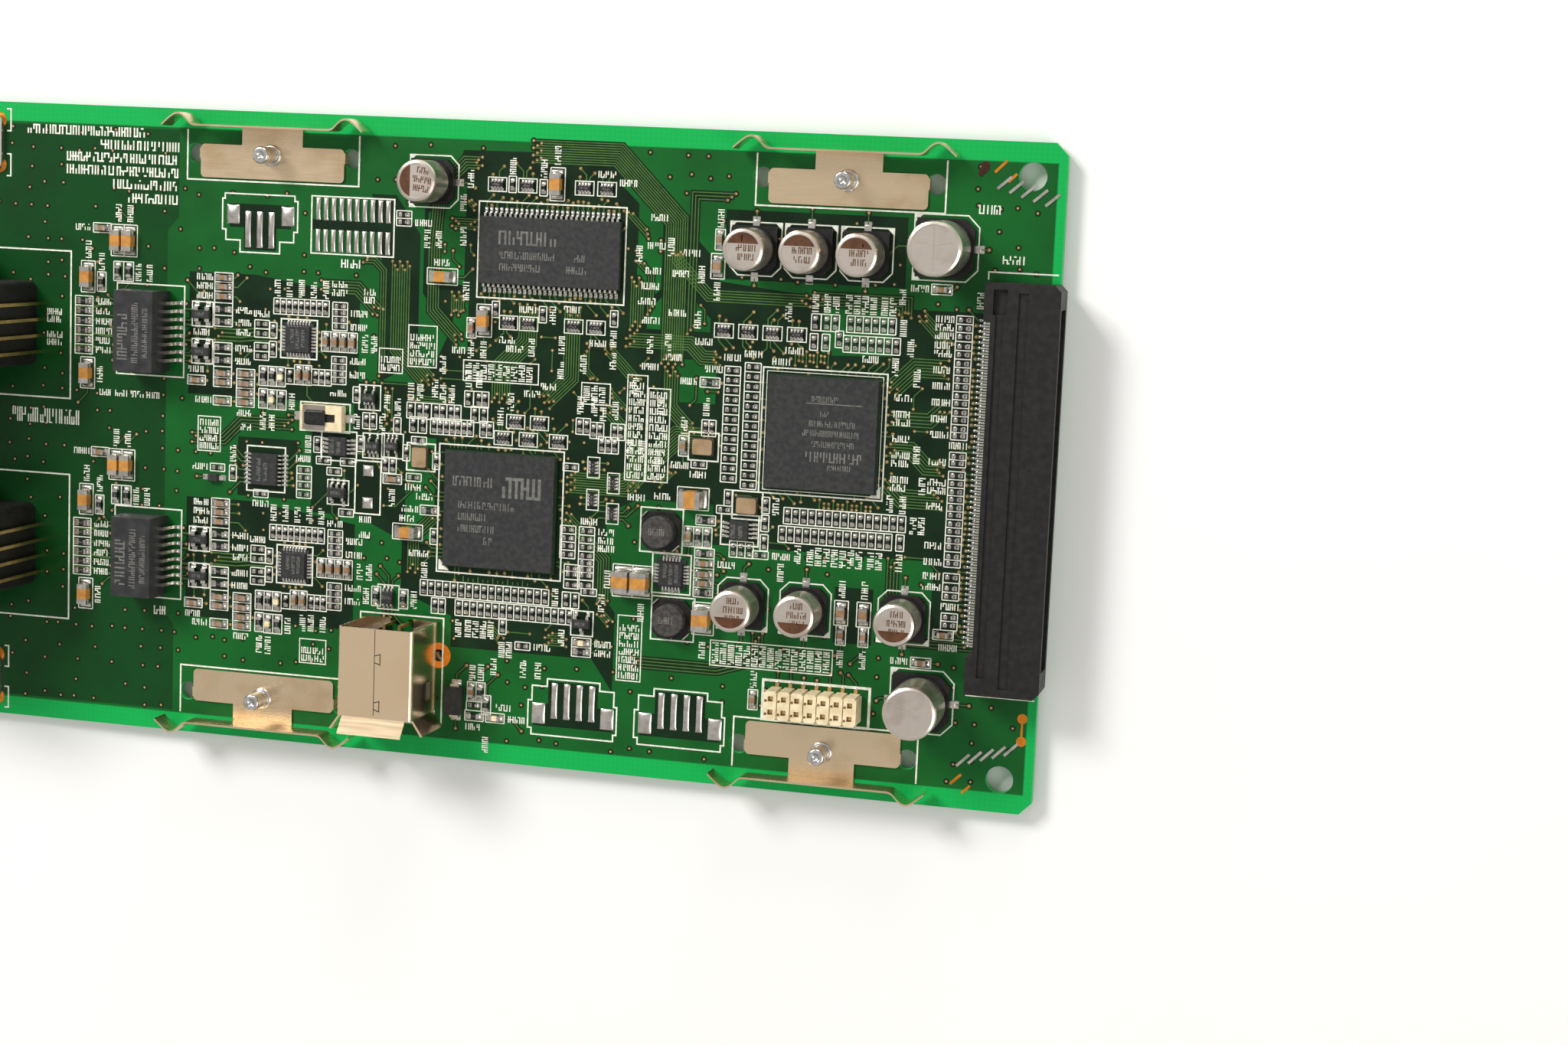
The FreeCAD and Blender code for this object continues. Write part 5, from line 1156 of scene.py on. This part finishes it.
# x, y, length, height
BIG_NAMES = [(-166.0, 47.6, 12.0, 2.3), (-124.5, 86.2, 3.4, 1.3), (-110.4, 74.6, 3.4, 1.3),
             (-79.6, 14.6, 3.4, 1.3), (-62.6, 14.4, 3.2, 1.3), (-33.8, 17.3, 3.2, 1.2),
             (-12.4, 87.2, 3.4, 1.3), (-14.2, 9.2, 3.6, 1.3), (-34.2, 84.6, 3.4, 1.2),
             (-25.6, 84.6, 3.4, 1.2), (-43.6, 86.2, 3.4, 1.2), (-8.6, 80.2, 3.2, 1.2),
             (-141.0, 53.4, 2.0, 1.4), (-141.0, 18.4, 2.0, 1.4)]
for x, y, length, height in BIG_NAMES:
    if print_ground.free(x, y, x + length, y + height):
        tally(print_lines, x, y, length, height, INK_Z0, INK_Z1, stroke=0.2)
        print_ground.take(x, y, x + length, y + height)
for corner in (((-93.3, 29.3), (-91.6, 29.3), (-93.3, 31.0)), ((-24.8, 45.1), (-24.8, 46.9), (-26.6, 45.1))):
    print_lines.plate(corner, INK_Z0, INK_Z1)

# %% Make the sheets collected so far
print_lines.make("board_print", inks["print_white"], "board_mask")
tracks.make("copper_tracks", inks["mask_over_copper"], "board_mask")
gaps.make("track_gaps", inks["mask_over_laminate"], "board_mask")
via_rings.make("via_rings", inks["via_copper"], "contact_gold")
via_holes.make("via_plugs", inks["via_fill"], "board_mask")
solder.make("solder_fillets", looks["bright_solder"], "bright_solder", smooth=True)
lands.make("tinned_lands", looks["bright_solder"], "bright_solder")

# %% [markdown]
# ## Marks on the chips
# Makers print on a chip's lid with a laser, which leaves pale grey. Posts and rungs stand in for the names
# here too, in rows of the usual number and size. A moulded dimple shows where pin one is.

# %% Laser marks and dimples
chip_marks, dimples = Stencil(), Stencil()
MARK_T = 0.02


def mark_rows(cx, cy, top, rows, degrees=0.0):
    """Rows of (x from the middle, y from the middle, length, height), turned with the chip."""
    for u, v, length, height in rows:
        marks = Stencil()
        tally(marks, u, v, length, height, top, top + MARK_T, stroke=max(0.1, height * 0.15))
        chip_marks.add_turned(marks, degrees, cx, cy)


def dimple(x, y, top, r):
    """A shallow round mark with a raised rim."""
    dimples.ring(x, y, r * 0.72, r, top, top + 0.02, 16)
    dimples.disc(x, y, r * 0.72, top, top + 0.006, 16)


def lid(node):
    """The middle and the top of a node that is one solid."""
    (row,) = solid_boxes(node)
    return (*middle(row), row[5])


cx, cy, top = lid("memory_chip")
mark_rows(cx, cy, top, [(-8.0, 0.9, 9.6, 2.1), (-7.8, -1.2, 8.8, 1.1), (4.0, -1.2, 2.0, 1.1),
                        (-7.8, -3.0, 6.6, 1.1), (2.8, -3.0, 3.4, 1.1)])
dimple(cx - 9.5, cy - 3.6, top, 0.5)
cx, cy, top = lid("processor_cap")
mark_rows(cx, cy, top, [(-7.4, 3.6, 6.4, 1.5), (0.6, 2.2, 6.2, 3.2), (-6.4, 0.2, 9.4, 1.1),
                        (-6.4, -1.6, 4.6, 1.1), (-6.4, -3.4, 6.0, 1.1), (-2.2, -5.2, 1.6, 1.1)])
dimple(cx - 7.2, cy - 7.0, top, 0.55)
cx, cy, top = lid("logic_chip_cap")
mark_rows(cx, cy, top, [(-4.6, 4.4, 3.6, 0.8), (-6.2, 2.6, 8.8, 1.5), (-5.0, 1.0, 6.6, 0.9),
                        (-5.6, -0.6, 8.6, 0.9), (-5.0, -2.0, 7.0, 0.9), (-1.0, -3.4, 1.4, 0.8),
                        (-2.4, -5.6, 4.4, 0.9)], 180)
chip_marks.line(turn([(-6.0, -4.5), (2.4, -4.5)], 180, cx, cy), 0.16, top, top + MARK_T)
dimple(cx + 6.6, cy - 6.8, top, 0.5)
print("marks on the large chips", chip_marks.plates)

# %% Marks on the smaller parts
for row in solid_boxes("transformers"):
    cx, cy = middle(row)
    mark_rows(cx, cy, row[5], [(-4.4, 0.9, 7.6, 1.7), (-4.8, -0.9, 9.6, 1.1), (-3.9, -2.5, 7.8, 0.9)], 90)
    dimple(cx + 1.7, cy - 5.2, row[5], 0.4)
for row in solid_boxes("buffer_chips"):
    cx, cy = middle(row)
    span = row[4] - row[1]
    start = -span * 0.36
    mark_rows(cx, cy, row[5], [(start, 0.5, span * 0.7, 0.7), (start, -0.6, span * 0.6, 0.6)], 90)
    dimple(cx - (row[3] - row[0]) * 0.32, cy - span * 0.36, row[5], 0.22)
FLAT_ROWS = [(-1.5, 0.7, 2.8, 0.55), (-1.5, -0.2, 3.0, 0.55), (-1.5, -1.1, 2.2, 0.55)]
for row in solid_boxes("flat_chips"):
    if row[5] > 0.6:
        cx, cy = middle(row)
        mark_rows(cx, cy, row[5], FLAT_ROWS, -90)
        dimple(cx + 1.5, cy + 1.5, row[5], 0.2)
for row in solid_boxes("regulators") + solid_boxes("clamp_diodes"):
    cx, cy = middle(row)
    mark_rows(cx, cy, row[5], [(-0.8, -0.25, 1.6, 0.55)])
for row in solid_boxes("inductor_cores"):
    cx, cy = middle(row)
    mark_rows(cx, cy, row[5], [(-1.3, -0.5, 2.6, 1.1)])
for row in solid_boxes("resistor_arrays"):
    cx, cy = middle(row)
    long_x = row[3] - row[0] > row[4] - row[1]
    mark_rows(cx, cy, row[5], [(-0.62, -0.17, 1.24, 0.34)], 0 if long_x else 90)
for row in solid_boxes("chip_resistors"):
    cx, cy = middle(row)
    if max(row[3] - row[0], row[4] - row[1]) > 0.7:
        mark_rows(cx, cy, row[5], [(-0.36, -0.14, 0.72, 0.28)], 90 if row[3] - row[0] < 0.8 else 0)
chip_marks.make("chip_marks", inks["laser_mark"], "chip_moulding")
dimples.make("pin_one_dimples", looks["transformer_moulding"], "chip_moulding")

# %% [markdown]
# ## Tops of the cans
# A small can has a brown field on the side of its minus lead and a few rows of print. The field is a
# segment of a circle, cut straight on the inner side. The print here is posts and rungs again.

# %% Can prints
can_print = Stencil()
# depth of the dished top, width of the rim, the field's cut as a share of its radius, height of the ink
CAN_DISH, CAN_RIM, FIELD_CUT, PRINT_T = 0.1, 0.66, 0.36, 0.02
CAN_PRINT_ROWS = ((-0.5, 1.15, 1.9), (-1.0, -0.2, 3.0), (-0.7, -1.5, 2.4))      # x, y, length
for row in small_cans:
    x, y = middle(row)
    top = row[5] - CAN_DISH
    r = (row[3] - row[0]) / 2 - CAN_RIM
    reach = math.acos(FIELD_CUT)
    segment = [(-r * math.cos(t), r * math.sin(t)) for t in np.linspace(-reach, reach, 18)]
    can_print.plate(turn(segment, can_direction(x, y), x, y), top, top + PRINT_T)
    marks = Stencil()
    for u, v, length in CAN_PRINT_ROWS:
        tally(marks, u, v, length, 0.95, top, top + PRINT_T, stroke=0.14)
    alone = x < ROW_ENDS[0]      # the print on the can that stands alone is a little askew
    can_print.add_turned(marks, -8 if alone else 0, x + (0.5 if alone else 0.0), y)
can_print.make("can_prints", inks["can_ink"], "can_aluminium")

# %% [markdown]
# ## Solder on the empty footprints
# Chips that were left out leave rows of bare lands behind, each with a low dome of solder that the oven
# melted into shape. A dome is an arch across the land that dies away towards both ends, so a small grid
# with that formula does.

# %% Domed solder
domes = Stencil()
DOME_H = 0.28
ACROSS, DOWN = (-1, -0.9, -0.55, 0, 0.55, 0.9, 1), (-1, -0.95, -0.8, 0, 0.8, 0.95, 1)
for x0, y0, z0, x1, y1, z1 in solid_boxes("solder_pads"):
    rows = []
    for v in DOWN:
        row = []
        for u in ACROSS:
            lift = math.sqrt(max(0.0, 1 - u * u)) * (1 - abs(v) ** 6)
            row.append(((x0 + x1) / 2 + u * (x1 - x0) / 2, (y0 + y1) / 2 + v * (y1 - y0) / 2,
                        z1 + 0.01 + DOME_H * lift))
        rows.append(row)
    domes.grid(rows)
domes.make("solder_domes", looks["bright_solder"], "bright_solder", smooth=True)

# %% [markdown]
# ## The seam of the square socket
# The socket's shell is one strip of sheet metal folded round, and its two ends meet on top in two
# dovetails. A line as thin as the real gap, dark and a hair above the metal, shows it without cutting the
# solid.

# %% Shell seam
seam = Stencil()
SOCKET_WALL, SOCKET_LEG_Y, SOCKET_TOP = (-104.9, -92.9), 15.9, 11.0
SEAM_X, SEAM_W = sum(SOCKET_WALL) / 2, 0.13
for y in (9.4, 16.6):
    dovetail = [(SEAM_X, y - 0.5), (SEAM_X + 0.9, y - 0.8), (SEAM_X + 0.9, y + 0.8), (SEAM_X, y + 0.5)]
    seam.line(dovetail, SEAM_W, SOCKET_TOP, SOCKET_TOP + 0.02)
seam.line([(SEAM_X, 8.0), (SEAM_X, 21.1)], 0.1, SOCKET_TOP, SOCKET_TOP + 0.015)
seam.make("shell_seam", looks["black_gloss_moulding"], "nickel_shell")

# %% [markdown]
# ## Copper without mask
# A few places have no mask: the rings round the legs of the square socket and of the terminals, two test
# lands at the front corner, and the dashes and scratches by the screw holes. Copper there is orange, or
# silver where it is tinned.

# %% Bare copper and tinned dashes
copper, tin = Stencil(), Stencil()
BARE_Z, TIN_Z, DASH_PITCH, DASH_STEP, DASH_W = 0.05, 0.12, 1.75, 0.55, 0.42
for x in SOCKET_WALL:
    copper.ring(x, SOCKET_LEG_Y, 0.95, 2.0, 0.0, BARE_Z, 28)
TEST_LANDS = [(-2.0, 14.3), (-2.0, 10.9)]
for x, y in TEST_LANDS:
    copper.disc(x, y, 0.75, 0.0, BARE_Z, 20)
copper.line(TEST_LANDS, 0.3, 0.0, BARE_Z)
for k in range(5):
    x0, y0 = -9.9 + k * DASH_PITCH, 90.9 - k * DASH_STEP
    tin.line([(x0, y0), (x0 + 2.0, y0 + 1.75)], DASH_W, 0.0, TIN_Z)
    x0, y0 = -11.4 + k * DASH_PITCH, 6.4 + k * DASH_STEP
    tin.line([(x0, y0), (x0 + 1.9, y0 + 1.9)], DASH_W, 0.0, TIN_Z)
SCRATCHES = ((-10.4, 93.2, -8.7, 94.9), (-8.4, 91.9, -7.2, 93.1), (-12.2, 3.6, -10.6, 5.2),
             (-10.4, 2.4, -9.2, 3.6))
for x0, y0, x1, y1 in SCRATCHES:
    copper.line([(x0, y0), (x1, y1)], 0.4, 0.0, BARE_Z)
for x in (-168.5, -175.5):
    for y in (9.6, 2.7, 87.9, 94.8):
        copper.ring(x, y, 0.75, 1.25, 0.0, BARE_Z, 20)
copper.make("bare_copper", inks["bare_copper"], "contact_gold")
tin.make("tinned_dashes", looks["bright_solder"], "bright_solder")

# %% [markdown]
# ## Soldered legs
# Legs that go through the board stand in a cone of solder on the underside, and the legs of the terminals
# in a smaller one on top too. The cone is a turned profile: steep at the leg and flat where it meets the
# land.

# %% Solder cones
cones = Stencil()
CONE = ((0.0, 1.0), (0.16, 0.52), (0.42, 0.22), (1.0, 0.03))      # share of reach, share of height
CONE_SIDES = 14


def cone(x, y, r0, r1, height, sign):
    """A cone of solder round a leg, on top of the board for sign 1 or under it for -1."""
    base = 0.0 if sign > 0 else -BOARD_T
    rows = []
    for share, up in CONE:
        r = r0 + (r1 - r0) * share
        rows.append([(x + r * math.cos(t), y + r * math.sin(t), base + sign * up * height)
                     for t in (sign * 2 * math.pi * i / CONE_SIDES for i in range(CONE_SIDES + 1))])
    cones.grid(rows)


# node: points this close together are one leg
LEG_APART = {"panel_terminals": 1.0, "usb_shell": 2.2, "usb_contacts": 1.0, "jack_front_contacts": 1.0,
             "jack_rear_contacts": 1.0}
LEG_PAST, FLAT_LEG = 0.3, 0.4      # least length of a leg below the board, inner radius round a flat one
legs = []
for node, apart in LEG_APART.items():
    spots = {}
    for vertex in nodes[node].data.vertices:
        x, y, z = (vertex.co - CORNER) / MM
        if z < -BOARD_T - LEG_PAST:
            key = next((k for k in spots if math.dist(k, (x, y)) < apart), (x, y))
            spots.setdefault(key, []).append((x, y))
    for places in spots.values():
        xs, ys = [p[0] for p in places], [p[1] for p in places]
        size = max(max(xs) - min(xs), max(ys) - min(ys))
        legs.append((node, (min(xs) + max(xs)) / 2, (min(ys) + max(ys)) / 2, size))
for node, x, y, size in legs:
    inner = size * 0.5 if node != "usb_shell" else FLAT_LEG
    cone(x, y, inner, inner + 0.65, 0.75, -1)
    if node == "panel_terminals":
        cone(x, y, inner, inner + 0.4, 0.5, 1)
cones.make("solder_cones", looks["bright_solder"], "bright_solder", smooth=True)
print("legs soldered", len(legs))

# %% [markdown]
# ## The underside
# The solder side has its own tracks and a little print. It is never the side on show, but it is there when
# the board is turned over.

# %% Underside tracks and print
under_tracks, under_gaps, under_print = Stencil(), Stencil(), Stencil()
BOTTOM, UNDER_INK, UNDER_BUNDLES = -BOARD_T, 0.03, 46
for _ in range(UNDER_BUNDLES):
    x, y = -10.0 - dice.random() * 140, 8.0 + dice.random() * 80
    count, length = dice.choice((2, 3, 5)), dice.uniform(6, 24)
    bend = dice.choice((-1, 1)) * dice.uniform(2, 6)
    path = [(x, y), (x - length, y), (x - length - abs(bend), y + bend)]
    if path[-1][1] > BOARD_W - 5 or path[-1][1] < 5 or path[-1][0] < -BOARD_L + 22:
        continue
    for i in range(count):
        moved = sideways(path, i * 0.42)
        under_tracks.line(moved, 0.18, BOTTOM, BOTTOM - TRACK_Z)
        under_gaps.line(moved, 0.6, BOTTOM, BOTTOM - GAP_Z)
for node, x, y, size in legs:
    under_print.ring(x, y, size * 0.5 + 0.95, size * 0.5 + 1.1, BOTTOM, BOTTOM - UNDER_INK, 20)
under_print.line([(-150, 12), (-150, 84), (-14, 84), (-14, 12)], 0.2, BOTTOM, BOTTOM - UNDER_INK, closed=True)
under_tracks.make("underside_tracks", inks["mask_over_copper"], "board_mask")
under_gaps.make("underside_gaps", inks["mask_over_laminate"], "board_mask")
under_print.make("underside_print", inks["print_white"], "board_mask")

# %% [markdown]
# ## Signs of use
# Somebody dabbed a brown dot of marker beside the rear hole when the board was tested. It is a thin uneven
# blot.

# %% Inspector's dot
dot = Stencil()
HALF_WIDE, HALF_LONG, BLOT_POINTS = 0.62, 1.35, 30
turns = [2 * math.pi * i / BLOT_POINTS for i in range(BLOT_POINTS)]
blot = [((1.0 + 0.16 * math.sin(3 * t) + 0.1 * math.cos(5 * t)) * HALF_WIDE * math.cos(t),
         (1.0 + 0.12 * math.cos(2 * t)) * HALF_LONG * math.sin(t)) for t in turns]
dot.plate(turn(blot, -28, -12.0, 93.6), 0.0, 0.05)
dot.make("inspector_dot", inks["marker_ink"], "board_mask")

# %% [markdown]
# ## Floor, light and camera
# The board rests on its rivet heads on a plain pale floor. One large soft lamp from the rear left gives the
# shapes their highlights, and the pale surroundings fill the shadows. The camera looks down on the board
# from the right.

# %% Floor
FLOOR = 2.5
floor_mesh = bpy.data.meshes.new("floor")
floor_corners = [(-FLOOR, -FLOOR, 0), (FLOOR, -FLOOR, 0), (FLOOR, FLOOR, 0), (-FLOOR, FLOOR, 0)]
floor_mesh.from_pydata(floor_corners, [], [(0, 1, 2, 3)])
floor = bpy.data.objects.new("floor", floor_mesh)
bpy.context.scene.collection.objects.link(floor)
paper = shades((0.80, 0.79, 0.77), (0.77, 0.76, 0.74), 6, 0.7)
floor.data.materials.append(finish("floor_paper", MOTTLED, paper))
print("floor", 2 * FLOOR, "m wide")

# %% Lights
world = bpy.data.worlds.new("studio")
world.use_nodes = True
room = world.node_tree.nodes["Background"].inputs
room["Color"].default_value = (1.0, 0.985, 0.96, 1)
room["Strength"].default_value = 0.55
bpy.context.scene.world = world
bpy.context.scene.view_settings.view_transform = "Standard"
# name, place in metres, width in metres, watts
LAMPS = [("key", (-0.55, 0.60, 0.70), 0.35, 11.0), ("fill", (0.75, -0.35, 0.65), 0.6, 3.5),
         ("rim", (0.2, 1.0, 0.30), 0.4, 3.0)]
LIT_SPOT = Vector((0.02, 0, 0))
for name, spot, size, watts in LAMPS:
    lamp = bpy.data.objects.new(name, bpy.data.lights.new(name, "AREA"))
    lamp.data.size, lamp.data.energy = size, watts
    lamp.location = spot
    lamp.rotation_euler = (LIT_SPOT - Vector(spot)).to_track_quat("-Z", "Y").to_euler()
    bpy.context.scene.collection.objects.link(lamp)
print("lamps", len(LAMPS))

# %% Camera
camera = bpy.data.objects.new("camera", bpy.data.cameras.new("camera"))
camera.data.lens, camera.data.sensor_width = 58.75, 36.0
camera.data.clip_start, camera.data.clip_end = 0.01, 20.0
EYE, AIM = Vector((0.1408, 0.0409, 0.3682)), Vector((0.0534, -0.0083, 0.0026))
UP = Vector((-0.0733, 0.9906, -0.1158))
backward = (EYE - AIM).normalized()
right = UP.cross(backward).normalized()
camera.matrix_world = Matrix((right, backward.cross(right), backward)).transposed().to_4x4()
camera.location = EYE
bpy.context.scene.collection.objects.link(camera)
bpy.context.scene.camera = camera
print("camera at", [round(v, 3) for v in camera.location])
